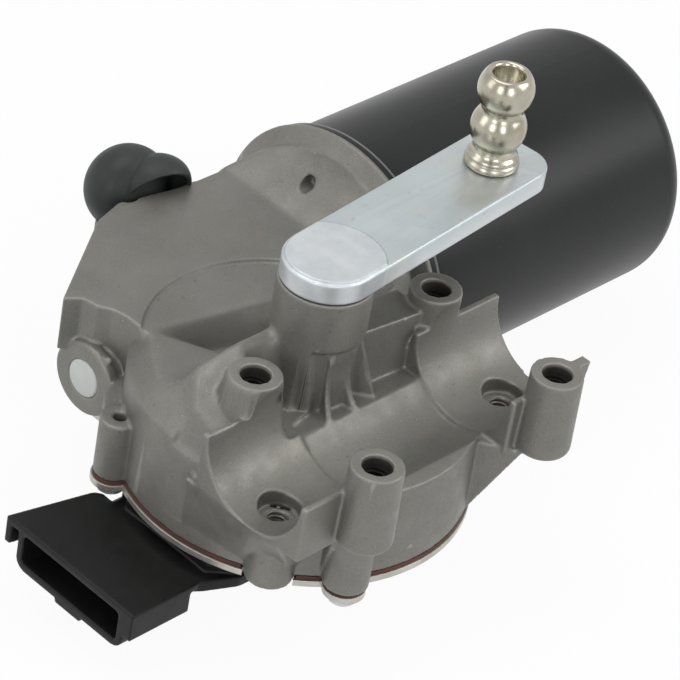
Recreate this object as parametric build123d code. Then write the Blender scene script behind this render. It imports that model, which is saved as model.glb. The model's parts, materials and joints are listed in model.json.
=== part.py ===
from build123d import *
import os
from math import atan2, cos, degrees, hypot, pi, radians, sin, sqrt, tan

# Wiper motor with crank: a permanent-magnet motor, a worm gear in a die-cast housing, a tube saddle
# with four mounting bosses, and a crank with a double ball stud. Millimetres, +Z up, +X along the
# armature towards the closed end of the motor can. Every function below works on the gearbox's own
# datum, where the output shaft stands on the Z axis and the cover's outer face is at z = 0. The
# finished pieces are then moved so that the part's origin is the middle of the four mounting bosses.

# ---------------------------------------------------------------- driving dimensions
# clearances
RUN_FIT = 0.03           # radial running fit of a shaft in its bush
SLIP_FIT = 0.1           # between a piece and the seat it drops into
SIDE_GAP = 0.3           # between bodies that move past each other
WHEEL_GAP = 1.0          # round the wheel in its chamber
BACKLASH = 0.2           # gap on each flank of the worm mesh

# cover side
COVER_T = 1.5            # cover plate
GASKET_T = 1.0           # cover gasket
COVER_RIM = 0.4          # cover beyond the chamber's wall
CHAMBER_R = 40.0         # outside of the wheel chamber, which the wheel and the motor's place follow
CHAMBER_WALL = 4.0
RIM_Z = 24.0             # top of the low part of the housing
CEILING_Z = 16.8         # underside of the chamber roof
DECK_Z = 31.5            # flat deck over the worm
DECK_T = 3.5
BACK_Y = 64.5            # rear wall of the gearbox
EAR_R = 4.4              # pillars of the cover screws
COVER_SCREW_R = 2.0
COVER_SCREW_L = 12.0
SCREW_HEAD_R = 3.6
SCREW_HEAD_H = 2.4
PILLAR_R = 5.4           # heavy pillar under the saddle
BEAD_R = 29.0            # stiffening bead of the cover
BEAD_W = 3.0
BEAD_H = 0.6

# gear train
WORM_Z = 12.5            # height of the worm axis and of the wheel's middle plane
WHEEL_TEETH = 54
WORM_PITCH_R = 5.75
WHEEL_W = 7.6            # width of the toothed rim
WHEEL_RIM_T = 3.4        # rim below the teeth
WHEEL_WEB_T = 3.0
WHEEL_HUB_R = 9.5
WHEEL_RIB_T = 1.8
HUB_LOW_Z = 6.7
WORM_L = 34.0            # threaded length
WORM_CORE_L = 36.8
CONTACT_INSET = 1.8      # contact disc of the park switch inside the wheel's rim
CONTACT_BORE_R = 12.0
CONTACT_T = 0.6
FINGER_W = 3.0           # park contacts
FINGER_T = 0.5
FINGERS = ((-22.5, 9.0), (-18.5, 2.0), (-14.0, -5.0))

# output shaft and neck
SHAFT_R = 5.0
SHAFT_LOW_Z = 6.2
BUSH_T = 1.5
BUSH_L = 12.0
NECK_R = 9.6
COLLAR_R = 10.8          # thicker upper band of the neck
COLLAR_L = 12.6
SEAL_H = 2.9
SEAL_R = 7.2
WASHER_R = 8.2
WASHER_T = 0.6
CLIP_T = 0.8
CLIP_GROOVE = 0.6        # depth of the clip's groove in the shaft
STUB_R = 4.6             # serrated end of the shaft inside the crank
STUB_L = 4.0

# crank
ARM_TOP = 58.5           # top face of the crank arm
ARM_T = 5.0
ARM_HALF = 10.5          # half width of the arm
ARM_END = 12.4           # stud axis to the arm's outer end
ARM_CORNER = 7.0
PAD_R = 12.5             # coined pad over the shaft end
PAD_LIFT = 0.5
ARM_EDGE = 0.6
CRANK_R = 57.4           # shaft axis to stud axis
CRANK_REST = 5.84        # rest angle of the crank, degrees from +X
BALL_R = 6.5
BALL_LOW = 9.9           # centre of the lower ball above the arm
BALL_PITCH = 10.1        # between the two ball centres
STUD_WAIST_R = 4.5
STUD_BASE_R = 6.4
STUD_BASE_H = 2.0
STUD_SHANK_R = 4.0
STUD_BORE_R = 3.65
STUD_BORE_DEPTH = 5.0
STUD_CORE_R = 2.6
STUD_CORE_DEPTH = 14.0
STUD_FLAT_R = 4.8
RIVET_R = 5.6            # riveted end under the arm
RIVET_H = 1.4

# mounting bosses and tube saddle
BOSS_X = 3.1             # middle of the pattern from the output shaft
BOSS_Y = -24.6
BOSS_PITCH_X = 56.0
BOSS_PITCH_Y = 37.0
BOSS_Z = 41.5            # plane of the four bosses
BOSS_R = 6.0
BOSS_HOLE_R = 3.4        # tapping size of M8
BOSS_HOLE_DEPTH = 17.0
BOSS_FOOT_Z = 21.0       # underside of the two outboard bosses
WEB_W = 9.0              # webs that carry the outboard bosses
FIN_L = 9.6
FIN_T = 2.6
TUBE_R = 14.0            # saddle for a 28 mm tube
TUBE_Y = -24.3
TUBE_Z = 34.0
SADDLE_X = 3.95          # middle of the saddle
SADDLE_HALF = 45.4       # middle of the saddle to its outer ends
SADDLE_L = 26.8          # length of each of the two cradles
SADDLE_TOP = 34.5
SADDLE_WALL = 1.7
CHANNEL_STEP = 1.0       # relief between the cradles
CLAMP_X = 35.0           # middle of the saddle to each clamp screw
CLAMP_HOLE_R = 2.5       # tapping size of M6
CLAMP_BORE_R = 4.8
CLAMP_BORE_DEPTH = 3.0
CLAMP_DEPTH = 14.0
RIB_T = 1.6              # ribs in front of the neck

# motor
FLANGE_REACH = 8.4       # joint face of housing and can beyond the chamber's wall
FLANGE_T = 3.8
FLANGE_R = 35.0
DRUM_R = 31.2
RIDGE_X = 33.5           # where the drum rises out of the deck
DRUM_FOOT_REACH = 1.4    # where the drum reaches below the cover, beyond the chamber's wall
CAN_R = 32.6
CAN_T = 2.0
CAN_LIP_R = 34.4
CAN_LIP_T = 2.0
CAN_SEAL_T = 0.4
CAN_STRAIGHT_REACH = 7.0 # straight part of the can beyond the magnets
CAN_CROWN_L = 12.4       # closed end of the can
CAN_CORNER_R = 6.5       # round corner between the can's side and its crowned end
SPIGOT_L = 4.0           # housing inside the can
SPIGOT_T = 2.7
EAR_ANGLE = 20.0         # screw ears of the can, degrees below the horizontal
CAN_EAR_R = 5.0
CAN_EAR_REACH = 37.0
CAN_SCREW_R = 2.5
CAN_SCREW_L = 8.0
CAN_HEAD_R = 4.4
CAN_HEAD_H = 3.2
MAGNET_T = 6.0
MAGNET_L = 54.0
MAGNET_ARC = 130.0
AIR_GAP = 0.8
CORE_L = 46.0
CORE_SLOTS = 10
CORE_GAP = 1.5           # between the commutator and the windings' end turns
SLOT_FLOOR_R = 10.0
SLOT_MOUTH = 2.4
CORE_TOOTH_W = 4.0
WINDING_GAP = 0.3
END_TURN_L = 5.5
TOOTH_TIP_T = 2.4
ARMATURE_R = 4.0         # armature shaft
TUNNEL_R = 8.4
TUNNEL_RING_R = 9.2
TUNNEL_RING_L = 2.8
TUNNEL_X = -29.6         # end face of the worm tunnel
WORM_BORE_R = 7.5
PLUG_R = 4.6
PLUG_L = 4.2
THRUST_BALL_R = 1.6
END_BUSH_L = 5.2
END_BUSH_R = 6.4
END_BUSH_X = -24.4
CALOTTE_R = 8.0          # self-aligning bushes of the armature
CALOTTE_L = 6.5
CALOTTE_INSET = 9.4      # inner face of the front bush before the joint face
BEARING_BOSS_R = 12.0
RETAINER_T = 0.8
RETAINER_BORE_R = 6.6
PLATE_INSET = 1.8        # seat of the brush plate before the joint face
PLATE_T = 2.4
PLATE_R = 27.4
PLATE_BORE_R = 9.0
COMMUTATOR_R = 11.0
COMMUTATOR_REACH = 5.6   # commutator beyond the joint face
COMMUTATOR_L = 16.0
BARS = 20
BAR_BORE_R = 8.0
BAR_GAP = 0.6
RISER_R = 12.4
BRUSH_W = 6.0            # brush across the shaft
BRUSH_T = 5.0            # brush along the shaft
BRUSH_L = 9.0
BRUSH_INSET = 7.0        # middle of the brushes along the commutator
BRUSH_ANGLES = (90, 270, 210)
HOLDER_T = 1.0
HOLDER_R = 12.6
HOLDER_END_R = 26.0
SPRING_R = 1.7
SPRING_WIRE_R = 0.35
SPRING_TURNS = 4
CHOKE_R = 2.6
CHOKE_L = 14.0
CHOKE_REACH = 19.0
CHOKE_TURNS = 7
CHOKE_ANGLES = (10, 170)

# connector
SOCKET_X = -61.4         # mouth of the connector
SOCKET_BACK_X = -43.0
SOCKET_Y = 4.4           # middle of the connector
SOCKET_LEFT_Y = 21.8     # outside faces of the socket
SOCKET_RIGHT_Y = -12.6
SOCKET_TOP = -2.5
SOCKET_H = 11.4
SOCKET_WALL = 1.8
HOOK_REACH = 2.4         # gap behind the hooked guide rails
HOOK_H = 7.0
RAIL_RUN_IN = 1.9        # inward run of the left rail, in reaches
SHELL_CORNER = 3.0
BACK_WALL = 3.0
KEY_Y = 0.2              # keyway under the socket
KEY_W = 8.3
KEY_H = 1.1
PIN_COUNT = 5
PIN_PITCH = 5.6
PIN_W = 2.8
PIN_T = 0.8
PIN_Z = -8.2
PIN_SETBACK = 4.6        # blade tips behind the mouth
PIN_NECK_Z = -3.6
PLINTH_T = 5.4           # body of the connector under the cover
TOWER_INSET = 6.0        # tower of the connector through the cover, inside the chamber's bore
TOWER_Y = -9.4
TOWER_L = 6.0
TOWER_W = 27.4
TOWER_Z = 5.2
CARRIER_T = 2.4
CARRIER_L = 23.0         # carrier of the park contacts from the tower inwards
CARRIER_RIM = 2.2        # carrier round the tower

# ventilation cap
CAP_X, CAP_Y, CAP_Z = 7.2, 70.6, 32.6
CAP_R = 9.1
CAP_WALL = 1.8
GROOVE_R = 0.7
VENT_R = 1.5
CAP_SKIRT = 7.4          # dome centre to the cap's lower rim
SPOUT_X = 25.0
SPOUT_Z = 28.6
SPOUT_R = 5.9
SPOUT_LIP_Z = 25.4       # open underside of the spout
NIPPLE_R = 3.6
LUG_R = 5.0
LUG_Z = 22.4
LUG_T = 3.4

# ---------------------------------------------------------------- derived dimensions
BASE_Z = COVER_T + GASKET_T                       # joint face of the housing
CHAMBER_BORE_R = CHAMBER_R - CHAMBER_WALL
WHEEL_TIP_R = CHAMBER_BORE_R - WHEEL_GAP
MODULE = WHEEL_TIP_R / (WHEEL_TEETH / 2 + 1)
PITCH_R = MODULE * WHEEL_TEETH / 2
WHEEL_ROOT_R = PITCH_R - 1.25 * MODULE
CONTACT_R = WHEEL_ROOT_R - WHEEL_RIM_T - CONTACT_INSET
WORM_Y = PITCH_R + WORM_PITCH_R                   # centre distance of worm and wheel
WORM_TIP_R = WORM_PITCH_R + MODULE
WORM_ROOT_R = WORM_PITCH_R - 1.25 * MODULE
WORM_LEAD = pi * MODULE
LEAD_SLOPE = WORM_LEAD / (2 * pi * WORM_PITCH_R)
FLANK = tan(radians(20))
WHEEL_BOTTOM = WORM_Z - WHEEL_W / 2
WHEEL_TOP = WORM_Z + WHEEL_W / 2
ARM_BOTTOM = ARM_TOP - ARM_T
COLLAR_TOP = ARM_BOTTOM - 0.4
COLLAR_Z = COLLAR_TOP - COLLAR_L
BUSH_R = SHAFT_R + BUSH_T
SEAL_Z = COLLAR_TOP - SEAL_H - 3.2
LOWER_BUSH_Z = CEILING_Z + 0.6
UPPER_BUSH_Z = SEAL_Z - BUSH_L
WASHER_Z = SEAL_Z + SEAL_H + SLIP_FIT
CLIP_Z = WASHER_Z + WASHER_T + RUN_FIT
BALL_TOP = BALL_LOW + BALL_PITCH
FLANGE_X = CHAMBER_R + FLANGE_REACH
DRUM_FOOT_X = CHAMBER_R + DRUM_FOOT_REACH
CALOTTE_X = FLANGE_X - CALOTTE_INSET
PLATE_X = FLANGE_X - PLATE_INSET
COMMUTATOR_X = FLANGE_X + COMMUTATOR_REACH
BRUSH_X = COMMUTATOR_X + BRUSH_INSET
CORE_X = COMMUTATOR_X + COMMUTATOR_L + CORE_GAP + END_TURN_L + CORE_L / 2
CAN_STRAIGHT_X = CORE_X + MAGNET_L / 2 + CAN_STRAIGHT_REACH
CAN_END_X = CAN_STRAIGHT_X + CAN_CROWN_L
TOWER_X = TOWER_INSET - CHAMBER_BORE_R
CAN_BORE_R = CAN_R - CAN_T
SPIGOT_R = CAN_BORE_R - SLIP_FIT
CAVITY_R = SPIGOT_R - SPIGOT_T
CAN_X = FLANGE_X + CAN_SEAL_T
SPIGOT_X = FLANGE_X + SPIGOT_L
MAGNET_BORE_R = CAN_BORE_R - MAGNET_T
CORE_R = MAGNET_BORE_R - AIR_GAP
BORE_START_X = TUNNEL_X + PLUG_L + 0.4
BALL_X = TUNNEL_X + PLUG_L + THRUST_BALL_R + RUN_FIT
SHAFT_START_X = BALL_X + 0.4
DOME_BUSH_X = CAN_END_X - CAN_T - 10.0
SHAFT_END_X = DOME_BUSH_X + CALOTTE_L + 1.0
RETAINER_X = CALOTTE_X + CALOTTE_L
SOCKET_BOTTOM = SOCKET_TOP - SOCKET_H
CRADLES = ((SADDLE_X - SADDLE_HALF, SADDLE_X - SADDLE_HALF + SADDLE_L),
           (SADDLE_X + SADDLE_HALF - SADDLE_L, SADDLE_X + SADDLE_HALF))
BOSSES = [(BOSS_X + sx * BOSS_PITCH_X / 2, BOSS_Y + sy * BOSS_PITCH_Y / 2)
          for sx, sy in ((-1, 1), (1, 1), (1, -1), (-1, -1))]
CLAMP_SCREWS = [(SADDLE_X - CLAMP_X, TUBE_Y), (SADDLE_X + CLAMP_X, TUBE_Y)]

# cover screws: two where they show beside the tunnel and under the saddle, the others round the rim
SCREW_REACH = CHAMBER_R + 1.6
REAR_SCREW_Y = BACK_Y - EAR_R - 1.6
COVER_SCREWS = [(SCREW_REACH * cos(radians(a)), SCREW_REACH * sin(radians(a)))
                for a in (150.7, -118.5, -30)]
COVER_SCREWS += [(-8.0, REAR_SCREW_Y), (28.0, REAR_SCREW_Y)]


# ---------------------------------------------------------------- shape helpers
def cyl_z(radius, z0, z1, x=0.0, y=0.0):
    return Pos(x, y, z0) * Cylinder(radius, z1 - z0, align=(Align.CENTER, Align.CENTER, Align.MIN))


def cone_z(radius0, z0, radius1, z1, x=0.0, y=0.0):
    return Pos(x, y, z0) * Cone(radius0, radius1, z1 - z0, align=(Align.CENTER, Align.CENTER, Align.MIN))


def ring_z(outer, inner, z0, z1, x=0.0, y=0.0):
    return cyl_z(outer, z0, z1, x, y) - cyl_z(inner, z0 - 1, z1 + 1, x, y)


def cyl_x(radius, x0, x1, y=WORM_Y, z=WORM_Z):
    return Pos(x0, y, z) * Rot(0, 90, 0) * Cylinder(radius, x1 - x0,
            align=(Align.CENTER, Align.CENTER, Align.MIN))


def ring_x(outer, inner, x0, x1):
    return cyl_x(outer, x0, x1) - cyl_x(inner, x0 - 1, x1 + 1)


def block(x0, x1, y0, y1, z0, z1):
    return Pos(x0, y0, z0) * Box(x1 - x0, y1 - y0, z1 - z0, align=(Align.MIN, Align.MIN, Align.MIN))


def prism(points, z0, z1):
    face = Pos(0, 0, z0) * make_face(Polyline(*points, close=True))
    return extrude(face, amount=z1 - z0, dir=(0, 0, 1))


def taper(points0, z0, points1, z1):
    """Straight-sided body between two outlines with as many corners."""
    lower = Pos(0, 0, z0) * make_face(Polyline(*points0, close=True))
    upper = Pos(0, 0, z1) * make_face(Polyline(*points1, close=True))
    return loft([lower, upper], ruled=True)


def slab_y(points, y0, y1):
    """Outline of (x, z) points, extruded along Y."""
    face = make_face(Polyline(*[(x, y0, z) for x, z in points], close=True))
    return extrude(face, amount=y1 - y0, dir=(0, 1, 0))


def slab_x(points, x0, x1):
    """Outline of (y, z) points, extruded along X."""
    face = make_face(Polyline(*[(x0, y, z) for y, z in points], close=True))
    return extrude(face, amount=x1 - x0, dir=(1, 0, 0))


def turned_z(profile, x=0.0, y=0.0):
    """Profile of (radius, z) points turned about a vertical axis."""
    face = make_face(Polyline(*[(r, 0, z) for r, z in profile], close=True))
    return Pos(x, y, 0) * revolve(face, Axis.Z)


def turned_x(profile):
    """Profile of (x, radius) points turned about the armature axis."""
    face = make_face(Polyline(*[(x, 0, r) for x, r in profile], close=True))
    return Pos(0, WORM_Y, WORM_Z) * revolve(face, Axis.X)


def crank_place():
    return Rot(0, 0, CRANK_REST)


# ---------------------------------------------------------------- gearbox housing
def joint_outline(z0, z1, grow=0.0):
    """Outline that housing, gasket and cover share: the round rim, the worm side and the screw ears."""
    left = -24.6 - grow
    right = RIDGE_X - 1.0 + grow
    rear = BACK_Y + grow
    outline = cyl_z(CHAMBER_R + grow, z0, z1)
    outline += prism([(-34, 20), (left - 4, 31), (left, 36), (left, 48), (-12 - grow, rear), (right, rear),
                      (right, 12), (0, 0)], z0, z1)
    for x, y in COVER_SCREWS:
        outline += cyl_z(EAR_R + grow, z0, z1, x, y)
    for x, y in CLAMP_SCREWS[:1]:
        outline -= cyl_z(PILLAR_R + 0.6 - grow, z0 - 1, z1 + 1, x, y)
    return outline


def deck_block():
    """Raised block over the worm, scooped out beside the tunnel, with a round shoulder on its left."""
    front = [(-24.6, 10), (-24.6, 33.6)]
    corner = [(-25.4, 37), (-27.6, 40.2), (-28.2, 43.8), (-32, 46.4)]
    inset = [(-24.4, 37), (-24.3, 40.2), (-24.2, 43.8), (-24, 50)]
    rest = [(-5.5, BACK_Y), (RIDGE_X + 2, BACK_Y - 0.8), (RIDGE_X + 2, 8), (0, 0)]
    body = prism(front + corner + rest, WORM_Z + 5, DECK_Z)
    body += taper(front + inset + rest, WORM_Z, front + corner + rest, WORM_Z + 5)
    body += prism(front + inset + rest, BASE_Z, WORM_Z)
    shoulder = cone_z(CHAMBER_R, 26.0, CHAMBER_R - 5.5, DECK_Z) + cyl_z(CHAMBER_R, BASE_Z, 26.0)
    shoulder &= block(-CHAMBER_R - 1, -6, 1, 30, BASE_Z, DECK_Z)
    return body + shoulder


def left_fairing():
    """Sloping fairing from the shoulder up to the first boss and the neck."""
    foot = [(-4, 14), (-37, 15), (-39.6, 3), (-38.6, -9.5), (-22, -10.5), (-5, -8)]
    top = [(-6, 5), (-28, 5), (-32.2, -2), (-31, -11), (-22, -11.6), (-8, -6)]
    return taper(foot, RIM_Z - 2, top, BOSS_Z - 0.6)


def neck():
    column = cyl_z(NECK_R, CEILING_Z, COLLAR_Z - 1) + cone_z(NECK_R, COLLAR_Z - 1, COLLAR_R, COLLAR_Z)
    column += cyl_z(COLLAR_R, COLLAR_Z, COLLAR_TOP)
    return column


def neck_ribs():
    """Three upright ribs that fan out in front of the neck, down to the channel."""
    foot = -TUBE_Y
    profile = [(0, RIM_Z - 3), (foot, RIM_Z - 3), (foot * 0.62, RIM_Z), (NECK_R, COLLAR_Z), (0, COLLAR_Z)]
    rib = Pos(0, -RIB_T / 2, 0) * slab_y(profile, 0, RIB_T)
    ribs = [Rot(0, 0, angle) * rib for angle in (-113.6, -78.6, -49.5)]
    return ribs[0] + ribs[1] + ribs[2]


def neck_bridge():
    """Web between the collar and the second boss."""
    foot = [(4, -7), (6, 9), (34, 9), (34, -9)]
    top = [(6, -5.5), (8, 4.5), (27, 1.5), (27, -8)]
    return taper(foot, RIM_Z - 2, top, 38.0)


def cradle_blocks():
    """The two cradles of the tube saddle, each flared back to the round rim by a buttress."""
    back = TUBE_Y + TUBE_R + SADDLE_WALL
    front = TUBE_Y - TUBE_R - SADDLE_WALL
    floor = TUBE_Z - TUBE_R
    (xa, xb), (xc, xd) = CRADLES
    left = block(xa, xb, front, back, floor + 0.4, SADDLE_TOP)
    left += taper([(-39.2, -5.6), (-34.2, -19.5), (-27.6, -28), (-18, -28), (-18, -5.6)], BASE_Z,
                  [(xa, -5.6), (xa, -26), (xa, front + 6), (-18, front + 6), (-18, -5.6)], floor + 0.4)
    right = block(xc, xd - 3, front, back, floor + 0.4, SADDLE_TOP)
    right += prism([(xd - 4, back), (xd, back), (xd, TUBE_Y), (xd - 3, front), (xd - 4, front)],
                   floor + 0.4, SADDLE_TOP)
    right += taper([(20, -6), (38.6, -6), (36.5, -16), (30.5, -25.5), (24, -31), (20, -31)], BASE_Z,
                   [(20, back), (xd, back), (xd, -16), (xd, TUBE_Y), (xd - 3, front + 5), (20, front + 5)],
                   floor + 0.4)
    return left + right


def outboard_boss(x, y):
    """Tapered boss in front of the saddle, carried by a web that runs out from the round rim."""
    reach = hypot(x, y)
    angle = degrees(atan2(y, x))
    boss = cone_z(BOSS_R + 0.45, BOSS_FOOT_Z, BOSS_R - 0.05, BOSS_Z, x, y)
    boss = fillet(boss.edges().group_by(Axis.Z)[0], 2.0)
    web = slab_y([(CHAMBER_BORE_R, BASE_Z), (CHAMBER_R - 0.4, BASE_Z), (reach - 4, BOSS_FOOT_Z - 0.2),
                  (reach - 4, BOSS_FOOT_Z + 0.8), (CHAMBER_BORE_R, BOSS_FOOT_Z
                          + 0.8)], -WEB_W / 2, WEB_W / 2)
    return boss + Rot(0, 0, angle) * web


def bosses():
    (x1, y1), (x2, y2), (x3, y3), (x4, y4) = BOSSES
    group = cyl_z(BOSS_R, RIM_Z - 2, BOSS_Z, x1, y1)
    group += cyl_z(BOSS_R, RIM_Z - 4, BOSS_Z, x2, y2)
    group += outboard_boss(x3, y3)
    group += outboard_boss(x4, y4)
    fin = slab_y([(x3, BOSS_Z), (x3 + FIN_L, BOSS_Z), (x3 + FIN_L - 0.6, BOSS_Z - 3),
                  (x3 + BOSS_R, BOSS_FOOT_Z + 3),
                  (x3, BOSS_FOOT_Z + 3)], y3 - FIN_T / 2, y3 + FIN_T / 2)
    return group + fin


def drum_body():
    """Round end of the housing towards the motor, hollowed in front above the deck."""
    drum = cyl_x(DRUM_R, RIDGE_X, FLANGE_X - FLANGE_T)
    drum += turned_x([(FLANGE_X - FLANGE_T, 0), (FLANGE_X - FLANGE_T, DRUM_R), (FLANGE_X - 1.2, FLANGE_R),
                      (FLANGE_X, FLANGE_R), (FLANGE_X, 0)])
    rise_x = FLANGE_X - FLANGE_T
    rise_z = WORM_Z + DRUM_R
    low = (RIDGE_X, 0, DECK_Z)
    high = (rise_x, 0, rise_z)
    bend = ((RIDGE_X + rise_x) / 2 + 1.3, 0, (DECK_Z + rise_z) / 2 - 1.3)
    arc = ThreePointArc(low, bend, high)
    over = Polyline(high, (rise_x, 0, rise_z + 6), (RIDGE_X - 6, 0, rise_z + 6),
                    (RIDGE_X - 6, 0, DECK_Z), low)
    face = Pos(0, WORM_Y - FLANGE_R - 5, 0) * make_face(arc + over)
    drum -= extrude(face, amount=2 * FLANGE_R + 10, dir=(0, 1, 0))
    drum -= block(RIDGE_X - 1, DRUM_FOOT_X, WORM_Y - FLANGE_R, WORM_Y + FLANGE_R, WORM_Z - FLANGE_R, BASE_Z)
    return drum


def tunnel():
    body = cyl_x(TUNNEL_R, TUNNEL_X, 0)
    ring = cyl_x(TUNNEL_RING_R, TUNNEL_X, TUNNEL_X + TUNNEL_RING_L)
    ring = fillet(ring.edges().group_by(Axis.X)[0], 0.9)
    for angle in (35, 125, 215, 305):
        dy, dz = TUNNEL_RING_R * cos(radians(angle)), TUNNEL_RING_R * sin(radians(angle))
        ring += cyl_x(0.9, TUNNEL_X + 1.4, TUNNEL_X + TUNNEL_RING_L, WORM_Y + dy, WORM_Z + dz)
    return body + ring


def screw_pillars():
    """Pillars of the two cover screws that stand free beside the tunnel and under the saddle."""
    (x1, y1), (x2, y2) = COVER_SCREWS[:2]
    group = cyl_z(EAR_R, BASE_Z, WORM_Z + 5, x1, y1)
    group += prism([(x1 - 3, y1 + 2), (x1 + 3.5, y1 + 9), (-24, 33), (-20, 20), (x1 + 3, y1 - 3)],
                   BASE_Z, WORM_Z + 4)
    group += cyl_z(EAR_R + 0.8, BASE_Z, BOSS_FOOT_Z, x2, y2)
    for x, y in COVER_SCREWS[2:3]:
        group += cyl_z(EAR_R, BASE_Z, BASE_Z + COVER_SCREW_L, x, y)
    for x, y in CLAMP_SCREWS:
        group += cyl_z(PILLAR_R, 1.2 if x < 0 else TUBE_Z - TUBE_R - CLAMP_DEPTH, TUBE_Z - TUBE_R + 0.4,
                       x, y)
    return group


def can_ears(x0, x1, radius, hole):
    """Two screw ears beside the round flange, a little below its middle."""
    group = None
    for side in (-1, 1):
        angle = radians(EAR_ANGLE)
        y = WORM_Y + side * CAN_EAR_REACH * cos(angle)
        z = WORM_Z - CAN_EAR_REACH * sin(angle)
        inner_y = WORM_Y + side * (CAN_EAR_REACH - 8) * cos(angle)
        inner_z = WORM_Z - (CAN_EAR_REACH - 8) * sin(angle)
        across_y, across_z = sin(angle) * side * radius, cos(angle) * radius
        ear = cyl_x(radius, x0, x1, y, z)
        ear += slab_x([(y + across_y, z + across_z), (y - across_y, z - across_z),
                       (inner_y - across_y, inner_z - across_z), (inner_y + across_y, inner_z
                               + across_z)], x0, x1)
        if hole:
            ear -= cyl_x(hole, x0 - 1, x1 + 1, y, z)
        group = ear if group is None else group + ear
    return group


def ear_places():
    angle = radians(EAR_ANGLE)
    return [(WORM_Y + side * CAN_EAR_REACH * cos(angle), WORM_Z - CAN_EAR_REACH * sin(angle))
            for side in (-1, 1)]


def breather_lug():
    """Lug behind the gearbox with the upright nipple that carries the rubber cap."""
    lug = block(CAP_X - 3, CAP_X + 6, BACK_Y - 3, CAP_Y, LUG_Z - LUG_T, LUG_Z)
    lug += cyl_z(LUG_R, LUG_Z - LUG_T, LUG_Z, CAP_X, CAP_Y)
    return lug + cyl_z(NIPPLE_R, LUG_Z - LUG_T, CAP_Z + 2, CAP_X, CAP_Y)


def cap_room():
    """Round recess behind the deck that the rubber cap sinks into."""
    low = CAP_Z - CAP_SKIRT
    return ring_z(CAP_R + SIDE_GAP, NIPPLE_R, low, DECK_Z + 1, CAP_X, CAP_Y) & block(
        CAP_X - 2 * CAP_R, CAP_X + 2 * CAP_R, CAP_Y - 2 * CAP_R, BACK_Y + 1, low, DECK_Z + 1)


def housing_cavities():
    hollow = cyl_z(CHAMBER_BORE_R, BASE_Z - 1, CEILING_Z)
    hollow += cyl_x(END_BUSH_R, BORE_START_X, END_BUSH_X + END_BUSH_L + 1)
    hollow += cyl_x(WORM_BORE_R, END_BUSH_X + END_BUSH_L + 0.4, CALOTTE_X + 1)
    hollow += cyl_x(CALOTTE_R + SLIP_FIT / 2, CALOTTE_X, RETAINER_X + 1)
    hollow += cyl_x(PLUG_R, TUNNEL_X - 1, BORE_START_X + 1)
    hollow += cyl_x(PLATE_R - 3, FLANGE_X - FLANGE_T, SPIGOT_X + 1)
    hollow += cyl_x(PLATE_R + SLIP_FIT, PLATE_X, SPIGOT_X + 1)
    return hollow


def wire_chamber():
    """Room for the chokes behind the worm, open to the cover below and to the drum beside it."""
    room = block(-3, RIDGE_X - 6, WORM_Y + WORM_BORE_R + 3, BACK_Y - 5.5, BASE_Z - 1, DECK_Z - DECK_T)
    for x, y in COVER_SCREWS[3:]:
        room -= cyl_z(EAR_R, BASE_Z - 1, DECK_Z, x, y)
    room += block(RIDGE_X - 7, FLANGE_X - FLANGE_T + 1, WORM_Y + WORM_BORE_R + 4, WORM_Y + WORM_BORE_R + 9,
                  WORM_Z, WORM_Z + 7)
    return room


def neck_bores():
    bores = cyl_z(BUSH_R, CEILING_Z - 1, SEAL_Z)
    bores += cyl_z(SEAL_R, SEAL_Z, WASHER_Z)
    bores += cyl_z(WASHER_R + SIDE_GAP, WASHER_Z, COLLAR_TOP + 1)
    return bores


def saddle_cut():
    """Seat of the tube, one step deeper between the two cradles."""
    (xa, xb), (xc, xd) = CRADLES
    seat = cyl_x(TUBE_R, xa - 5, xd + 5, TUBE_Y, TUBE_Z)
    seat += cyl_x(TUBE_R + CHANNEL_STEP, xb, xc, TUBE_Y, TUBE_Z)
    return seat


def screw_holes():
    holes = None
    for x, y in BOSSES:
        drill = cyl_z(BOSS_HOLE_R, BOSS_Z - BOSS_HOLE_DEPTH, BOSS_Z + 1, x, y)
        holes = drill if holes is None else holes + drill
    for x, y in CLAMP_SCREWS:
        seat_z = TUBE_Z - TUBE_R
        holes += cyl_z(CLAMP_HOLE_R, seat_z - CLAMP_DEPTH + 2, seat_z + 2, x, y)
        holes += cyl_z(CLAMP_BORE_R, seat_z - CLAMP_BORE_DEPTH, seat_z + 6, x, y)
    for x, y in COVER_SCREWS:
        holes += cyl_z(COVER_SCREW_R, BASE_Z - 1, BASE_Z + COVER_SCREW_L - 2, x, y)
    for y, z in ear_places():
        holes += cyl_x(CAN_SCREW_R, CAN_X - CAN_SCREW_L, FLANGE_X + 1, y, z)
    holes += cyl_z(1.5, WORM_Z + 1, WORM_Z + 6, *COVER_SCREWS[0])
    holes += cyl_x(1.7, RIDGE_X, FLANGE_X - FLANGE_T - 1, WORM_Y + 4.4, WORM_Z + 23.7)
    holes += cyl_z(1.4, CAP_Z - 8, CAP_Z + 3, CAP_X, CAP_Y)
    return holes


def deck_pocket():
    """Sloping pocket between the deck, the fairing and the neck, and the round step in the deck."""
    floor = [(-13, 20.5), (8, 15), (6, 3), (-8, 4)]
    top = [(-24, 29), (10.6, 21.8), (6.6, 3), (-10, 3)]
    pocket = taper(floor, RIM_Z, top, DECK_Z + 0.4)
    step = cyl_z(32.2, DECK_Z - 0.8, DECK_Z + 1, -1.9, 5.9) & block(-36, 36, 12, 40, DECK_Z - 1, DECK_Z + 1)
    mark = ring_z(3.6, 3.3, DECK_Z - 0.3, DECK_Z + 1, 2.5, 58.5)
    return pocket, step, mark


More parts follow.
